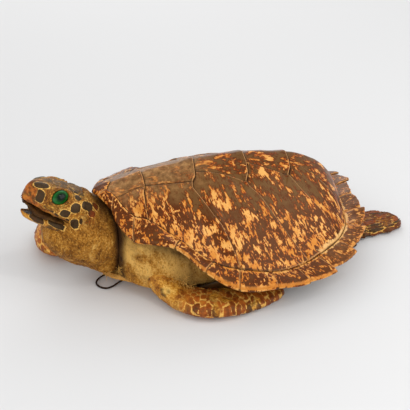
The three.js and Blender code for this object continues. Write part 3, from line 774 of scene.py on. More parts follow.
def dome_loop(share, drop):
    """The dome's outline at a share of its width, lowered by a drop."""
    inner_x, inner_y, inner_z = parts(curve(INNER, LOOP_SEAMS))
    x = mix(through(SPINE, LOOP_SEAMS), inner_x, share)
    y = inner_y * share
    z = dome(x, y) if share < 1 else inner_z
    return around_loop(points_of(x, y, z - drop))


def reach(polygon, centre, angles):
    """Distance from a centre to a polygon around it, in each direction."""
    start_x, start_y = parts((np.asarray(polygon, float) - centre)[None])
    edge_x, edge_y = np.roll(start_x, -1, 1) - start_x, np.roll(start_y, -1, 1) - start_y
    ray_x, ray_y = np.cos(angles)[:, None], np.sin(angles)[:, None]
    cross = ray_x * edge_y - ray_y * edge_x
    cross = np.where(np.abs(cross) < 1e-9, 1e-9, cross)
    along = (start_x * edge_y - start_y * edge_x) / cross
    share = (start_x * ray_y - start_y * ray_x) / cross
    hit = (along > 0) & (share >= -1e-9) & (share <= 1 + 1e-9)
    return np.where(hit, along, np.inf).min(axis=1)


def scute_boundary(outline, centre):
    """The scute's edge: its outline, trimmed by the line of the marginals, in even steps."""
    inside, limit = dome_loop(SHARE_INSIDE, 0), dome_loop(1, 0)
    trim = mix(limit, inside, PLATE_INSET)[:, :2]
    corners = np.arctan2(*(np.asarray(outline, float) - centre).T[::-1])
    angles = np.sort(np.concatenate([np.linspace(-np.pi, np.pi, 900, endpoint=False), corners]))
    radius = np.minimum(reach(outline, centre, angles) - JOIN, reach(trim, centre, angles))
    dense = centre + radius[:, None] * points_of(np.cos(angles), np.sin(angles))
    closed = np.vstack([dense, dense[:1]])
    length = lengths_along(closed)
    at = np.linspace(0, length[-1], int(length[-1] / EDGE_STEP), endpoint=False)
    return points_of(*(np.interp(at, length, closed[:, k]) for k in (0, 1)))


def patches(x, y):
    """The markings' pull towards dark (above 0) or amber at points in plan."""
    return sum(s * bell(np.hypot(x - at_x, y - at_y), r) for at_x, at_y, r, s in PATCHES)


def damage(plan):
    """How far points in plan lie in the crack or in a chip, from 0 to 1."""
    start, end = np.array(CRACK[:-1], float), np.array(CRACK[1:], float)
    run = end - start
    offset = plan[..., None, :] - start
    t = np.clip((offset * run).sum(-1) / (run**2).sum(-1), 0, 1)
    found = bell(np.linalg.norm(offset - t[..., None] * run, axis=-1).min(-1), CRACK_WIDTH)
    for *place, radius in CHIPS:
        found = np.maximum(found, bell(np.linalg.norm(plan - place, axis=-1), radius))
    return found


def dome_scute(node, outline, centre, areola, seed, material):
    """A horn plate on the dome, its rear edge lifted over the next plate like a shingle."""
    centre = np.array(centre, float)
    boundary = scute_boundary(outline, centre)
    spokes = boundary - centre
    radius = np.linalg.norm(spokes, axis=1).max()
    shares = np.concatenate([np.linspace(0.03, 0.915, int(radius / RING_STEP)), NEAR_EDGE])
    plan = centre + spokes * shares[:, None, None]
    x, y = parts(plan)
    gaps = ((plan.reshape(-1, 1, 2) - boundary) ** 2).sum(-1)
    seam = np.sqrt(gaps.min(axis=1)).reshape(x.shape)
    tangent_x, tangent_y = parts(np.roll(boundary, -1, 0) - np.roll(boundary, 1, 0))
    normal = unit(points_of(tangent_y, -tangent_x))
    normal *= np.sign((spokes * normal).sum(1, keepdims=True))
    rearward = -normal[np.argmin(gaps, axis=1), 0].reshape(x.shape)

    place = points_of(x, y, seed * 31)
    low_on_keel = mix(0.4, 1, smoothstep(np.abs(y), 24, 50))
    lift = SHINGLE_LIFT * smoothstep(rearward, 0.0, 0.65) * bell(seam, 10) * low_on_keel
    lift -= SHINGLE_SINK * smoothstep(-rearward, 0.0, 0.5) * bell(seam, 8)
    growth = 0.1 * np.sin(2 * np.pi * (seam + 1.2 * noise(place, 14)) / GROWTH_STEP) * np.exp(-seam / 20)
    swell = (0.8 * rough(place, 30, 3) - 0.8 * smoothstep(seam, 3, 26)) * smoothstep(seam, 0, 6)
    cracked = damage(plan)
    top = points_of(x, y, dome(x, y) + lift + growth + swell - 0.45 * bell(seam, 0.6) - 0.7 * cracked)
    below_x, below_y = parts(centre + spokes * shares[[-1, -6, 12, 0]][:, None, None])
    bottom = points_of(below_x, below_y, dome(below_x, below_y) - SCUTE)
    rings = np.concatenate([top, bottom[:1] + [0, 0, SCUTE / 2], bottom])

    def with_under(values, under):
        """Values for the top's rings, and one value for all the rings below."""
        return np.concatenate([values, np.full((len(rings) - len(top), *values.shape[1:]), under)])

    x, y, _ = parts(rings)
    out = np.abs(y) / flank_y(x)
    # Along the top of the dome's front the flames are pulled darker, and a veil of painted sheen lies over
    # them.
    back_ridge = smoothstep(x, 20, 90) * smoothstep(-np.abs(y), -66, -14)
    seam = with_under(seam, 9.0)
    # Painted shade: the flames are pulled darker on each plate's front edge, behind the lifted rear edge of
    # the plate before it.
    behind = bell(seam, 5) * with_under(smoothstep(-rearward, 0.1, 0.6), 0.0)
    shade = 0.06 + 0.1 * (0.6 - out) - 0.07 * smoothstep(x, 80, 140) + patches(x, y)
    add_rings(
        node, skewed(rings), material, "tortoiseshell",
        spread=flames(rings, [*areola, dome(centre[:1], centre[1:])[0]]),
        seeded=np.broadcast_to([seed * 3.1, seed * 1.7, seed * 5.3], rings.shape),
        outer=smoothstep(out, 0.25, 0.95), shade=shade + 0.1 * back_ridge + 0.08 * behind, seam=seam,
        pale=with_under(smoothstep(rearward, -0.2, 0.5), 0.0), crack=with_under(cracked, 0.0),
        worn=0.84 * smoothstep(out, 0.9, 0.985) * smoothstep(-x, 20, 100), rim=0,
        under=with_under(0 * cracked, 1.0), olive=0.55 * back_ridge,
    )


def marginal_rings(seams, across, notch_from):
    """Closed sections of a marginal scute, one for each seam position."""
    thick = through(MARGIN_EDGE, seams)[:, None]
    top = band_point(seams, across, notch_from)
    tip = band_point(seams, np.array([1.0]), notch_from)
    start = band_point(seams, np.array([MARGIN_START]), notch_from)
    width = np.linalg.norm(tip - start, axis=-1)
    rounding = np.minimum(0.3, 0.5 * thick / width)
    bend = 1 - np.sqrt(1 - np.clip((across - 1 + rounding) / rounding, 0, 1) ** 2)
    depth = mix(SCUTE, thick, smoothstep(across, 0.44, 0.56)[None])
    under = top.copy()
    top[..., 2] -= 0.45 * thick * bend
    under[..., 2] -= depth - 0.55 * thick * bend
    tip[..., 2] -= 0.45 * thick
    start[..., 2] -= SCUTE / 2
    return np.concatenate([start, top, tip, under[:, ::-1]], axis=1)


def marginal(node, seams, side, seed, material, notch_from=None):
    """One marginal scute, or the nuchal, which runs over the midline and has no notch."""
    across = np.concatenate([np.linspace(MARGIN_START, 0.8, 20), NEAR_RIM])
    rings = marginal_rings(seams, across, notch_from)
    if notch_from is None:
        rings = np.concatenate([rings[1:][::-1] * [1, -1, 1], rings])
    else:
        rings = rings * [1, side, 1]
    share = np.concatenate([[MARGIN_START], across, [1], across[::-1]])[None]
    on_top = (np.arange(share.size) <= len(across))[None]
    run = lengths_of_rings(rings)
    from_end = np.minimum(run, run[-1] - run)
    along = run / run[-1]
    rear = smoothstep(-rings[..., 0], 50, 120)
    front = smoothstep(rings[..., 0], 110, 150)
    lift = 1.3 * smoothstep(along, 0.6, 1.0) - 0.5 * smoothstep(-along, -0.2, 0.0)
    lift = lift * (0.4 if notch_from is None else 1.0) * smoothstep(share, 0.1, 0.7)
    ragged = rough(rings, 6, 3, seed) * smoothstep(share, 0.75, 1) * mix(0.3, 0.75, rear)
    lowered = lift + 0.4 * rough(rings, 15, 2, seed) - 0.8 * bell(from_end, 0.8)
    rings = rings + unit(rings - rings[:, :1]) * ragged[..., None]
    rings[..., 2] += np.where(on_top, lowered, lift * 0.5)

    middle, tip = rings[len(rings) // 2, 0], rings[len(rings) // 2, len(across) + 1]
    source = middle + (middle - tip) * MARGIN_SOURCE + [18, 0, 0]
    edge = smoothstep(share, 0.84, 1.0) * (1 - 0.8 * front) + 0.7 * smoothstep(share, 0.24, 0.04)
    pull = 0.01 * rear + 0.3 * edge * (1 - 0.5 * rear) + 0.1 * bell(from_end, 7) + 0.03 * front
    # The rear marginals' olive-brown veil is partly painted sheen.
    add_rings(
        node, skewed(rings), material, "tortoiseshell", caps="fold",
        spread=flames(rings, source) * [1, 1, 1.3],
        seeded=np.broadcast_to([seed * 2.3, seed * 4.1, seed * 1.3], rings.shape),
        outer=0.7, shade=0.16 - pull, seam=from_end, pale=on_top, crack=0,
        worn=np.where(on_top, smoothstep(share, 0.3, 0.03), 0) * mix(0.35, 0.95, rear),
        rim=np.where(on_top, share, 0.7) + 0.03 - 0.07 * rear - 0.14 * front,
        under=np.where(on_top, 0, 0.85 * smoothstep(share, 1.0, 0.9)), olive=0.16 * rear,
    )


def lengths_of_rings(rings):
    """Running length from ring to ring, at each point of a ring."""
    steps = np.linalg.norm(np.diff(rings, axis=0), axis=-1)
    return np.concatenate([0 * steps[:1], np.cumsum(steps, axis=0)])


def carapace_bone(material):
    top = SCUTE + GAP
    shares = [0.004, *np.linspace(0.08, 1, 13)]
    upper = [dome_loop(share, top) for share in shares]
    lower = [dome_loop(share, top + BONE) for share in shares]
    edge = band_point(LOOP_SEAMS, np.array([BONE_REACH]))[:, 0]
    lip = [around_loop(edge - [0, 0, drop]) for drop in (top + LIP_SINK, top + BONE)]
    rings = np.array([*upper, *lip, *lower[::-1]])
    rings[1:-1, :, 2] += 0.12 * rough(rings[1:-1], 9, 2)
    add_rings("carapace_bone", skewed(rings), material, "bone", caps="fold")


def build_carapace():
    horn = tortoiseshell()
    carapace_bone(bone_surface())
    marginal("nuchal_scute", np.linspace(-0.5, -MARGIN_JOINT, 16), 1, 2, horn)
    for i, (half, centre, areola) in enumerate(VERTEBRALS):
        outline = [*half, *[[x, -y] for x, y in half[::-1][1:-1]]]
        dome_scute(f"vertebral_scute_{i + 1}", outline, centre, areola, 3 + i, horn)
    for name, side in SIDES:
        for i, (outline, *places) in enumerate(COSTALS):
            outline, places = ([(x, y * side) for x, y in points] for points in (outline, places))
            dome_scute(f"costal_scute_{name}_{i + 1}", outline, *places, 11 + i + 20 * (side < 0), horn)
        for number in range(1, 13):
            node = f"marginal_scute_{name}_{number}" if number < 12 else f"supracaudal_scute_{name}"
            seams = np.linspace(number - 1 + MARGIN_JOINT, number - MARGIN_JOINT, 34)
            marginal(node, seams, side, number + 26 * (side < 0), horn, number - 1)


# ---------------------------------------------------------------- plastron and trunk


def plastron_under(x, y):
    share = np.minimum(1, np.abs(y) / through(PLASTRON, x, 1))
    bridge = (np.maximum(0, share - BRIDGE_FROM) / (1 - BRIDGE_FROM)) ** 2
    return through(PLASTRON, x, 2) + through(BRIDGE, x) * bridge


def build_plastron():
    x = np.linspace(-163, 211, 190)[:, None]
    half = np.concatenate([np.linspace(1, 0.05, 26), [0.02, 0.008]])
    share = np.concatenate([half, [0], -half[::-1]])
    wide = through(PLASTRON, x)
    y = wide * share
    low = plastron_under(x, y)
    place = points_of(x, y, low)
    wander = 1.8 * noise(place * [0, 1, 0], 22) + 0.8 * noise(place * [0, 1, 0], 6, 3)
    across = np.min([np.abs(x - at + wander) for at in PLASTRON_SEAMS], axis=0)
    middle = np.abs(y + 0.9 * noise(place * [1, 0, 0], 16))
    side_line = np.abs(np.abs(y) - (0.6 * wide + 1.5 * noise(place * [1, 0, 0], 20, 5)))
    groove = bell(np.minimum(across, np.minimum(middle, side_line)), 0.9)
    under = points_of(x, y, np.maximum(low, 0.05) + 0.7 * groove)
    over = points_of(x, y, low + PLASTRON_THICK)
    end = plastron_under(x, wide) + PLASTRON_THICK / 2
    ragged = wide + 0.8 * noise(place[:, :1], 9, 2)
    left, right = (points_of(x, side * ragged, end) for side in (1, -1))
    rings = np.concatenate([left, under, right, over[:, ::-1]], axis=1)
    # Painted shade: the bridge corners under the carapace rim, and the top of the plastron along its sides
    # under the rim, are darkened to near black.
    bridge = smoothstep(np.abs(share), 0.72, 0.86) * smoothstep(through(BRIDGE, x), 8, 20)
    groove_and_shade = np.maximum(groove, 1.7 * bridge)
    grime_and_shade = 2.0 * smoothstep(np.abs(y), 82, 100)
    marks = np.concatenate([groove_and_shade[:, :1], groove_and_shade, groove_and_shade[:, -1:], grime_and_shade[:, ::-1]], axis=1)
    add_rings("plastron", rings, plastron_surface(), "plastron_horn", caps="fold", groove=marks)


def plain_marks(crease, bright=0):
    """Skin attributes for a piece with no scales."""
    return {"crease": crease, "scaled": 0, "border": 1, "tone": 0, "bright": bright}


def build_trunk(material):
    x = np.concatenate([np.linspace(-146, 56, 50), np.linspace(60, 184, 84)])[:, None]
    wide = through(TRUNK, x)
    y = np.linspace(1, -1, 60) * wide
    over = points_of(x, y * 0.94, shell_top(x, y) - TRUNK_SINK)
    under = points_of(x, y * 0.96, plastron_under(x, y) + PLASTRON_THICK + 0.6)[:, ::-1]
    t = np.linspace(0, 1, 32)[1:-1]

    def flank(start, end):
        rows = start[:, None] * (1 - t[:, None]) + end[:, None] * t[:, None]
        rows[..., 1] += np.sign(start[:, None, 1]) * wide * 0.055 * np.sin(np.pi * t)
        return rows

    def on_flanks(down, up):
        """Values for the whole ring: some on each flank, and none above and below."""
        none = np.zeros(y.shape[1])
        return np.concatenate([none, down, none, up])

    right, left = flank(over[:, -1], under[:, 0]), flank(under[:, -1], over[:, 0])
    rings = np.concatenate([over, right, under, left], axis=1)
    loose = np.sqrt(on_flanks(np.sin(np.pi * t), np.sin(np.pi * t)))
    sag = rough(rings * [1, 1, 0.4], 22, 3, 4) * 2.0 + rough(rings, 5, 3, 9) * 0.6
    fold = -1.6 * np.abs(noise(rings * [1, 1, 0.35], 15, 12)) ** 2
    rings = swollen(rings, (sag + fold) * loose)
    x, _, z = parts(rings)
    # Painted shade: the skin is darkened where it goes in under the neck, high up under the carapace, along
    # the top of the flanks under the rim, and from the shoulder backwards; the noise adds a random darker
    # tone.
    crease = smoothstep(x, 176, 183) * 0.92 + 0.25 * smoothstep(noise(rings, 9, 21), 0.3, 0.8)
    crease += smoothstep(z, 60, 100) * smoothstep(150 - x, -10, 40) * 0.6
    depth = on_flanks(smoothstep(t, 0.5, 0.05), smoothstep(t, 0.5, 0.95))
    crease += depth * (0.5 + 0.35 * rough(rings, 9, 3, 41)) + 0.55 * smoothstep(-x, -140, -88)
    marks = plain_marks(np.clip(crease, 0, 1), 0.13 + 0.12 * rough(rings, 22, 4, 33))
    add_rings("body_skin", rings, material, "skin", **marks)


# ---------------------------------------------------------------- head, neck, tail


def in_head(along, side, high):
    """World points from head coordinates: forward along the beak, to the left, and up."""
    x, z = turned(along, high, HEAD_PITCH)
    return HEAD_CENTRE + points_of(x, side, z)


def to_head(points):
    """Head coordinates [along, side, high] of world points."""
    x, y, z = parts(points - HEAD_CENTRE)
    along, high = turned(x, z, -HEAD_PITCH)
    return points_of(along, y, high)


def eye_share(h):
    """Distance from the eye's middle in the plane of the lids: 1 is the lids' opening."""
    along, side, high = parts(h)
    _, w = turned(np.abs(side) - EYE_SIDE, high - EYE_HIGH, -EYE_LEAN)
    u, w = turned(along - EYE_ALONG, w, EYE_SLANT)
    return np.hypot(u / (EYE_RADIUS * LID_LENGTH), w / (EYE_RADIUS * LID_HEIGHT))


def face_marks(points, granular):
    """Plates and granules of the face: relief in mm, the gaps between granules, and scale attributes."""
    h = to_head(points)
    folded = h * [1, 0, 1] + np.abs(h) * [0, 1, 0]
    wave = (1 + 0.14 * noise(points, 5, 3)) / PLATE_GROWTH
    best = np.full(h.shape[:2], 9.0)
    tone = np.zeros(h.shape[:2])
    for along, side, high, length, height, turn, dark in FACE_PLATES:
        ahead, out, above = parts(folded - [along, side, high])
        rise = high - (4 if high > -15 else -30)
        up = np.hypot(side, rise)
        u, w = turned(ahead, (above * side - out * rise) / up, math.radians(turn))
        q = ((np.abs(u) / length) ** PLATE_POWER + (np.abs(w) / height) ** PLATE_POWER) ** (1 / PLATE_POWER)
        q = np.maximum(q * wave, np.abs(out * side + above * rise) / up / PLATE_DEPTH)
        tone = np.where(q < best, dark, tone)
        best = np.minimum(best, q)
    inside = smoothstep(best, 1.22, 1.06)
    kept = sparse(points.reshape(-1, 3)[rng.permutation(best.size)], GRAIN)
    near, far, number = cells(points, kept)
    grain = smoothstep(far - near, 0.1, 1.3)
    grain_tone = rng.uniform(0, 0.75, len(kept))[number]
    relief = inside * (0.4 + 0.7 * smoothstep(best, 1.05, 0.6)) + (1 - inside) * granular * 0.6 * grain
    border = mix(mix(0.26, 0.9, grain), 0.14 + 1.9 * np.clip(1.04 - best, 0, 1), inside)
    strength = np.maximum(inside, granular * smoothstep(grain_tone, 0.45, 0.6) * 0.75 * grain)
    bright = granular * (rng.uniform(-0.07, 0.09, len(kept))[number] + 0.05 * rough(points, 18, 2, 61))
    tone = mix(grain_tone * 0.8, tone, inside)
    marks = {"scaled": strength, "border": border, "tone": tone, "bright": bright}
    return relief, (1 - grain) * granular * (1 - inside), marks


def sparse(points, spacing):
    """Points thinned out to about one in each cell of a grid."""
    keys = np.floor(points / spacing).astype(int)
    _, first = np.unique(keys, axis=0, return_index=True)
    return points[np.sort(first)]


def add_stain(marks, stain, tone):
    """Dark scale attributes wherever a stain is stronger than the scales."""
    over = stain > marks["scaled"]
    marks["border"] = np.where(over, 0.9, marks["border"])
    marks["tone"] = np.where(over, tone, marks["tone"])
    marks["scaled"] = np.maximum(marks["scaled"], stain)


def head_surface(along, angle):
    """The head's section, boxier below so that the beak has an edge."""
    top, bottom, half = columns(HEAD, along)
    middle = (top + bottom) / 2
    up = np.sin(angle)
    power = np.where(up < 0, 0.6, 0.85)
    side = half * np.abs(np.cos(angle)) ** power * np.sign(np.cos(angle))
    high = middle + (top - middle) * np.where(up < 0, -np.abs(up) ** 0.8, up)
    palate = np.exp(-((side / (0.72 * half)) ** 4)) * smoothstep(-up, 0.55, 0.9)
    return side, high + 4.5 * palate * smoothstep(along[:, None], -20, 0)


def build_head(material):
    along = np.concatenate([np.linspace(-50, 38, 96), [39, 40, 41, 41.9, 42.8, 43.5, 44.1, 44.6]])
    rings = in_head(along[:, None], *head_surface(along, full_turn(200)))
    normal = outward(rings)
    h = to_head(rings)
    ahead, aside, above = parts(h)
    aside = np.abs(aside)
    q = np.where(aside > 12, eye_share(h), 9)
    flank = smoothstep(aside, 12, 17)
    lids = 2.3 * bell(q - 1.14, 0.11) + 1.5 * bell(q - 1.42, 0.12)
    lids -= 0.9 * bell(q - 1.28, 0.04) + 0.8 * bell(q - 1.64, 0.07)
    socket = -6.5 * smoothstep(q, 1.02, 0.9)
    nostril = -2.2 * bell(ahead - 38.3, 1.6) * bell(above - 12.6, 1.3) * smoothstep(aside, 3, 6)
    beak = smoothstep(ahead, 19, 28)
    brow = 0.5 * bell(above - 24, 2.6) * smoothstep(ahead, -22, -8) * smoothstep(-ahead, -24, -12)
    ridge = 0.9 * bell(aside, 3) * smoothstep(ahead, 10, 30) * (above > 5)
    torn = 1.3 * rough(rings, 5, 2, 8) * smoothstep(-above, 6, 12) * smoothstep(ahead, -8, 4)
    relief, gaps, marks = face_marks(rings, np.where(q < 1.02, 0, 1 - 0.85 * beak))
    lid_zone = smoothstep(q, 1.8, 1.6)
    total = relief * (1 - 0.45 * lid_zone) + (lids + socket + brow) * flank + nostril + ridge + torn
    rings = rings + normal * (total + 0.6 * rough(rings, 16, 3, 5))[..., None]

    # Painted shade: darkened inside the mouth, at the edge of the eye socket, in the nostrils and in the
    # grooves round the lids; the gaps between granules are dark joints.
    inwards = smoothstep(aside / through(HEAD, along, 3)[:, None], 0.93, 0.8)
    mouth = smoothstep(-above, 9.5, 12.5) * inwards
    crease = mouth * 0.97 + smoothstep(q, 1.05, 0.98) + 0.8 * smoothstep(-nostril, 0.6, 1.6)
    rims = bell(q - 1.28, 0.05) + 0.8 * bell(q - 1.64, 0.07)
    crease = np.maximum(np.clip(crease, 0, 1), np.maximum(0.65 * rims * flank, 0.6 * gaps))
    marks["scaled"] = marks["scaled"] * (1 - lid_zone) * (1 - crease)
    edge_line = 0.75 * smoothstep(-above, 7, 10) * smoothstep(ahead, -22, -6) * (1 - crease)
    mottled = beak * smoothstep(rough(rings, 7, 3, 31), -0.9, -0.2) * (1 - crease) * 0.9
    smudge = np.maximum(smoothstep(rough(rings, 6, 3, 33), -0.45, 0.2), smoothstep(above, 9, 17))
    dirt = np.maximum(mottled, edge_line * smoothstep(rough(rings, 6, 2, 17), -0.5, 0.3))
    add_stain(marks, dirt, 0.22 + 0.5 * smudge)

    crown = smoothstep(above - 0.06 * ahead + 1.3 * rough(rings, 8, 3, 44), 18.6, 22.4)
    crown = crown * smoothstep(36 - ahead, 0, 8) * smoothstep(q, 1.3, 1.7)
    crown = crown * smoothstep(-marks["scaled"], -1.0, -0.93)
    near, far, _ = cells(rings, sparse(rings[crown > 0.5], 13))
    shield = smoothstep(far - near, 0.3, 2.2)
    rings = rings - normal * (0.5 * crown * (1 - shield))[..., None]
    marks["tone"] = mix(marks["tone"], 1.25 + 0.25 * rough(rings, 6, 3, 51), crown)
    marks["border"] = mix(marks["border"], 0.3 + 0.6 * shield, crown)
    marks["scaled"] = mix(marks["scaled"], 0.6 + 0.34 * shield, crown)
    add_rings("head", rings, material, "head_scales", crease=crease * (1 - 0.7 * crown), **marks)


def build_jaw(material):
    along = np.concatenate([np.linspace(-26, 35.5, 64), [36.4, 37.1, 37.7, 38]])
    angle = full_turn(150)
    top, bottom, half = columns(JAW, along)
    along = along[:, None]
    up = np.sin(angle)
    side = half * np.abs(np.cos(angle)) ** np.where(up > 0, 0.5, 0.85) * np.sign(np.cos(angle))
    high = (top + bottom) / 2 + (top - bottom) / 2 * np.where(up > 0, np.abs(up) ** 0.8, up)
    mouth_floor = np.exp(-((side / (0.74 * half)) ** 4)) * smoothstep(up, 0.5, 0.9)
    rings = in_head(along, side, high - 2.6 * mouth_floor + 1.2 * smoothstep(along, 28, 38))
    relief, gaps, marks = face_marks(rings, 0.5 * smoothstep(-along, -10, 6))
    rings = swollen(rings, relief + 0.55 * rough(rings, 9, 3, 15))
    # Painted shade on the floor of the mouth, fading out towards the tip.
    crease = np.clip(mouth_floor * 1.2, 0, 0.97) * (1 - smoothstep(along, 30, 36))
    stain = smoothstep(rough(rings, 10, 3, 37), -0.5, 0.3) * smoothstep(along, 33, 24) * 0.85
    add_stain(marks, stain, 0.42 + 0.5 * stain)
    marks["scaled"] = marks["scaled"] * (1 - crease)
    crease = np.maximum(crease, 0.6 * gaps)
    add_rings("lower_jaw", rings, material, "head_scales", crease=crease, **marks)


def mouth_lining(material):
    """Dried lining between the jaws, ending in torn points behind the beak. Its near-black colour is painted
    shade inside the mouth, and where it hangs down behind the beak it is a dark sheet standing for that
    shade.
    """
    along = np.linspace(-24, 41, 70)
    angle = full_turn(72)
    _, palate, half = columns(HEAD, along)
    jaw_top, _, _ = columns(JAW, along)
    hanging = smoothstep(along, 16, 38)[:, None]
    top = palate + 2.5
    bottom = mix(jaw_top - 3, top - 5.5, hanging)
    side = half * mix(0.8, 0.72, hanging) * np.cos(angle) * mix(1, 0.8, hanging * (np.sin(angle) < 0))
    high = (top + bottom) / 2 + (top - bottom) / 2 * np.sin(angle)
    rings = in_head(along[:, None], side, high)
    rings = swollen(rings, 1.3 * rough(rings, 6, 3, 18))
    # Painted shade: the lining is coloured nearly all dark.
    marks = plain_marks(0.9 + 0.1 * noise(rings, 4))
    add_rings("mouth_lining", rings, material, "skin", in_cad=False, **marks)


def build_eyes(material):
    polar = np.linspace(0.03, math.pi - 0.03, 40)[:, None]
    turn = full_turn(64)
    for name, side in SIDES:
        outside = np.cos(polar) * side * (1 + 0.16 * smoothstep(np.cos(polar), 0.55, 1.0))
        ball = np.sin(polar) * np.cos(turn), outside, np.sin(polar) * np.sin(turn)
        u, out, w = (EYE_RADIUS * v * k for v, k in zip(ball, EYE_FLATTEN))
        u, w = turned(u, w, -EYE_SLANT)
        out, w = turned(out, w, EYE_LEAN * side)
        rings = in_head(EYE_ALONG + u, EYE_SIDE * side + out, EYE_HIGH + w)
        front = np.where(np.cos(polar) > 0, np.sin(polar), 1)
        add_rings(f"{name}_glass_eye", rings, material, "eye_glass", front=front)


def upright_rings(rows, x, count):
    bottom, top, half = columns(rows, x)
    angle = full_turn(count)
    z = (top + bottom) / 2 + (top - bottom) / 2 * np.sin(angle)
    return points_of(x[:, None], half * np.cos(angle), z)


def build_neck(material):
    stations = np.concatenate([np.linspace(184.6, 262, 100), np.linspace(263, 280, 24)])
    rings = upright_rings(NECK, stations, 220)
    x, _, z = parts(rings)
    ahead, _, above = parts(to_head(rings))
    face = smoothstep(above + 0.35 * ahead, -27, -16) * smoothstep(ahead, -52, -40)
    relief, gaps, marks = face_marks(rings, face)
    away = np.linalg.norm((rings - THROAT) * [1, 0.8, 1], axis=-1) + 4 * rough(rings, 16, 3, 3)
    wave = np.abs(np.sin(away / FOLD_STEP * np.pi)) - 0.6
    folds = smoothstep(100 - z, -12, 26) * 0.75 * wave * smoothstep(x, 190, 202)
    sag = 1.3 * rough(rings, 26, 2, 2) + 0.6 * rough(rings * [1, 1, 0.5], 6, 3, 6)
    rings = swollen(rings, relief * np.maximum(face, marks["scaled"]) + folds + sag)

    bottom, top, _ = columns(NECK, stations)
    x, _, z = parts(rings)
    middle = (bottom + top) / 2
    fall = np.clip((middle - z) / (middle - bottom), 0, 1)
    hanging = smoothstep(228 - stations, 0, 26)[:, None]
    floor_z = 21.5 + 0.8 * noise(rings * [1, 1, 0], 5, 8)
    pulled = mix(z, np.minimum(z, floor_z), smoothstep(fall, 0.5, 0.78))
    z = mix(z, pulled, hanging * smoothstep(fall, 0.4, 0.8))
    rings[..., 2] = z
    # Painted shade: darker in the valleys of the folds, at the neck's base where it goes into the shell, and
    # under the carapace rim; the gaps between granules are dark joints. Painted light: the skin is a little
    # lighter higher up.
    furrows = smoothstep(-folds, 0.05, 0.45) * 0.42 * smoothstep(rough(rings, 14, 2, 71), -0.6, 0.3)
    under_shell = smoothstep(z, 100, 122) * smoothstep(206 - x, -6, 8)
    crease = np.maximum(furrows, 0.6 * gaps) + smoothstep(188.5 - x, -6, 4) + under_shell * 0.8
    marks["bright"] += 0.03 * smoothstep(z, 50, 90) - 0.015
    crease = np.clip(crease, 0, 1) * (1 - marks["scaled"])
    add_rings("neck", rings, material, "skin", crease=crease, **marks)


def build_tail(material):
    rings = upright_rings(TAIL, np.linspace(-146.6, -181, 60), 60)
    wrinkle = 0.5 * np.sin(rings[..., 0] * 1.6 + 2 * noise(rings, 6)) + 0.6 * rough(rings, 6, 2)
    rings = swollen(rings, wrinkle)
    # Painted shade in the valleys of the wrinkles.
    add_rings("tail", rings, material, "skin", **plain_marks(0.3 * smoothstep(-wrinkle, 0, 0.8)))


# ---------------------------------------------------------------- flippers


def toothed(scales_along):
    """A saw-tooth along an edge, one tooth a scale."""
    return np.abs(scales_along % 1 - 0.5) * 2 - 0.5


def flipper(node, rows, material, scales, start, seed, dark, relief=0.8, teeth=0, outline=0.1, glow=0.05):
    """A flipper skinned over its sections and covered in horny scales.

    scales rows are [distance along, scale length, scale width]; start is where the scales begin.
    """
    rows = np.array(rows, float)
    length = lengths_along((rows[:, :2] + rows[:, 2:4]) / 2)
    s = np.linspace(0, length[-1], int(length[-1] / FLIPPER_STEP))
    lx, ly, tx, ty, thick, low = columns(np.column_stack([length, rows]), s)
    angle = full_turn(150)
    share = (1 - np.cos(angle)) / 2
    z = low + thick * 1.1 + thick * np.sin(angle) * (1.2 - 0.4 * share)
    rings = points_of(lx + (tx - lx) * share, ly + (ty - ly) * share, z)
    v = np.where(np.sin(angle) >= 0, 1, -1) * (share * np.hypot(tx - lx, ty - ly) + 4 * np.sqrt(share))
    along_size, across_size = columns(scales, s)
    warped = np.cumsum(np.gradient(s) / along_size[:, 0])[:, None]
    wobble = 0.26 * noise(rings, 8, seed) + 0.12 * noise(rings, 3.4, seed + 5)
    seeds = []
    for i, j in itertools.product(range(int(warped.max()) + 2), range(-16, 17)):
        jitter = rng.uniform(-0.24, 0.24, 2)
        seeds.append((i + jitter[0], j + 0.5 * (i % 2) + jitter[1], 0))
    near, far, number = cells(points_of(warped + wobble, v / across_size, 0), seeds)
    tones = rng.uniform(0, 1, len(seeds))
    worn_off = smoothstep(-rough(rings, 15, 3, seed + 31), -0.75, -0.35)
    here = smoothstep(s, start - 16, start + 12)[:, None] * worn_off
    lump = here * relief * (smoothstep(far - near, 0.02, 0.34) - 0.35 * near)
    leather = (1 - here) * (0.9 * rough(rings, 10, 3, seed + 2) + 0.4 * rough(rings, 3.5, 2, seed + 4))
    fold = 0.7 * rough(rings, 18, 2, seed + 7) + 0.35 * here * rough(rings, 4, 3, seed + 9)
    leading = bell(share, 0.06) * teeth * toothed(warped)
    trailing = bell(1 - share, 0.05) * 1.4 * toothed(warped + 0.3 * noise(rings, 9, seed))
    rings = swollen(rings, lump + leather + fold + (leading + trailing) * here)
    rings[..., 2] = np.maximum(rings[..., 2], 0.15 + 0.1 * np.abs(noise(rings, 5)))
    tone = dark - 0.2 + 0.4 * tones[number] + 0.22 * bell(share, 0.16) - 0.25 * near
    # On the flippers the darkening marks are random darker patches on the bare leather.
    add_rings(
        node, rings, material, "flipper_scales",
        crease=0.8 * smoothstep(noise(rings, 7, seed + 3), 0.35, 0.9) * (1 - here), scaled=0.94 * here,
        border=outline + (far - near) * 1.15 + 0.1 * rough(rings, 4, 2, seed),
        tone=np.clip(tone, 0, 1), bright=glow + 0.09 * rough(rings, 9, 3, seed + 13),
    )


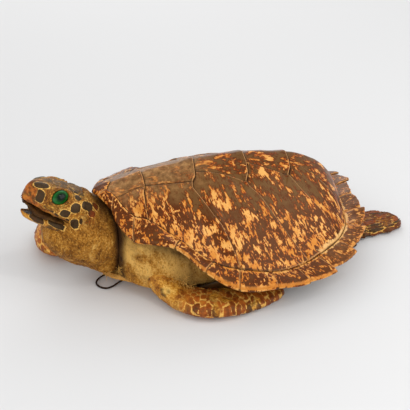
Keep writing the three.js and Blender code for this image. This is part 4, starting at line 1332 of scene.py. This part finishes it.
def build_flippers(material):
    widening = [[0, 6, 6], [75, 6.4, 12], [110, 6.8, 19], [150, 7.2, 26], [205, 8, 28], [240, 12, 36]]
    flipper(
        "left_front_flipper", FRONT_LEFT, material, [*widening, [300, 13, 40]],
        start=66, seed=1, dark=0.42, outline=0.14, glow=0.03,
    )
    flipper(
        "right_front_flipper", FRONT_RIGHT, material,
        [[0, 5, 5], [120, 5.6, 5.2], [200, 7, 9], [320, 9, 16]], start=60, seed=21, dark=0.24,
    )
    hind = {"start": 40, "dark": 0.7, "outline": 0.2, "glow": -0.13}
    flipper(
        "left_hind_flipper", HIND_LEFT, material,
        [[0, 6, 6], [70, 8, 5], [120, 22, 5], [200, 24, 5]], seed=41, relief=1.8, teeth=3.6, **hind,
    )
    flipper(
        "right_hind_flipper", HIND_RIGHT, material,
        [[0, 6, 6], [70, 8, 6], [160, 14, 7]], seed=61, relief=1.2, teeth=2.4, **hind,
    )


# ---------------------------------------------------------------- wire and fibres


def swept(path, radius, count):
    """Rings of a tube along a path, with a radius at each point."""
    ahead = unit(np.gradient(path, axis=0))
    across = unit(np.cross(ahead, [0, 0, 1.0]))
    up = np.cross(across, ahead)
    angle = full_turn(count)[..., None]
    spokes = np.cos(angle) * across[:, None] + np.sin(angle) * up[:, None]
    return path[:, None] + radius[:, None, None] * spokes


def build_wire(material):
    points = np.array(WIRE, float)
    knots = lengths_along(points, 0.5)
    path = curve(np.column_stack([knots, points]), np.linspace(0, knots[-1], 160))
    rings = swept(path, np.full(len(path), WIRE_RADIUS * 0.98), 14)
    add_rings("hanging_wire", swollen(rings, 0.1 * rough(rings, 1.6, 2)), material, "iron_wire")


def build_fibres(material):
    """Torn skin fibres along the join of neck, plastron and flipper."""
    bodies, faces, total = [], [], 0
    t = np.linspace(0, 1, 6)[:, None]
    for start, end, number, length in FRAY:
        for _ in range(number):
            root = mix(np.array(start, float), np.array(end, float), rng.uniform()) + rng.normal(0, 1.5, 3)
            lean = np.array([rng.normal(0, 0.7), rng.uniform(0.2, 1), rng.normal(0.2, 0.7)])
            lean *= length * rng.uniform(0.4, 1) / np.linalg.norm(lean)
            path = root + lean * t + rng.normal(0, length * 0.2, 3) * t * t
            path[:, 2] = np.maximum(path[:, 2], 0.6)
            rings = swept(path, 0.5 * (1 - 0.85 * t[:, 0]) * rng.uniform(0.6, 1.2), 4)
            bodies.append(flattened(rings, "fan"))
            faces += [[v + total for v in f] for f in ring_faces(*rings.shape[:2], "fan")]
            total += len(bodies[-1])
    add_piece("torn_fibres", np.concatenate(bodies), faces, material, "skin", **plain_marks(0, 0.2))


# ---------------------------------------------------------------- floor, light, camera


def looking(thing, place, target):
    """A camera or lamp in the scene at a place, turned towards a target."""
    found = bpy.data.objects.new(thing.name, thing)
    found.location = place
    found.rotation_euler = (Vector(target) - Vector(place)).to_track_quat("-Z", "Y").to_euler()
    bpy.context.scene.collection.objects.link(found)
    return found


def floor_surface():
    pale = Surface("studio_floor")
    pale.put(pale.shader.inputs["Base Color"], (0.72, 0.72, 0.722, 1))
    pale.put(pale.shader.inputs["Roughness"], 0.9)
    pale.put(pale.shader.inputs["Specular IOR Level"], 0.1)
    return pale.material


def build_studio():
    mesh = bpy.data.meshes.new("studio_floor")
    corners = [(x * FLOOR_REACH, y * FLOOR_REACH, 0) for x, y in ((-1, -1), (1, -1), (1, 1), (-1, 1))]
    mesh.from_pydata(corners, [], [[0, 1, 2, 3]])
    mesh.materials.append(floor_surface())
    floor = bpy.data.objects.new("studio_floor", mesh)
    bpy.context.scene.collection.objects.link(floor)
    world = bpy.data.worlds.new("studio")
    world.use_nodes = True
    world.node_tree.nodes["Background"].inputs["Color"].default_value = (1, 1, 1, 1)
    world.node_tree.nodes["Background"].inputs["Strength"].default_value = SKY_STRENGTH
    bpy.context.scene.world = world
    for name, place, size, power in LIGHTS:
        light = bpy.data.lights.new(name, "AREA")
        light.shape = "SQUARE"
        light.size = size
        light.energy = power
        looking(light, place, LIT_POINT)


def build_camera():
    data = bpy.data.cameras.new("camera")
    data.lens = LENS
    data.sensor_width = SENSOR
    bpy.context.scene.camera = looking(data, CAMERA_AT, CAMERA_TO)
    bpy.context.scene.view_settings.view_transform = "Standard"


build_camera()
build_studio()
build_carapace()
build_plastron()
skin = skin_surface()
build_trunk(skin)
build_neck(skin)
build_tail(skin)
mouth_lining(skin)
face = scale_surface("head_scales")
build_head(face)
build_jaw(face)
build_eyes(eye_surface())
build_flippers(scale_surface("flipper_scales"))
build_wire(iron_surface())
build_fibres(skin)
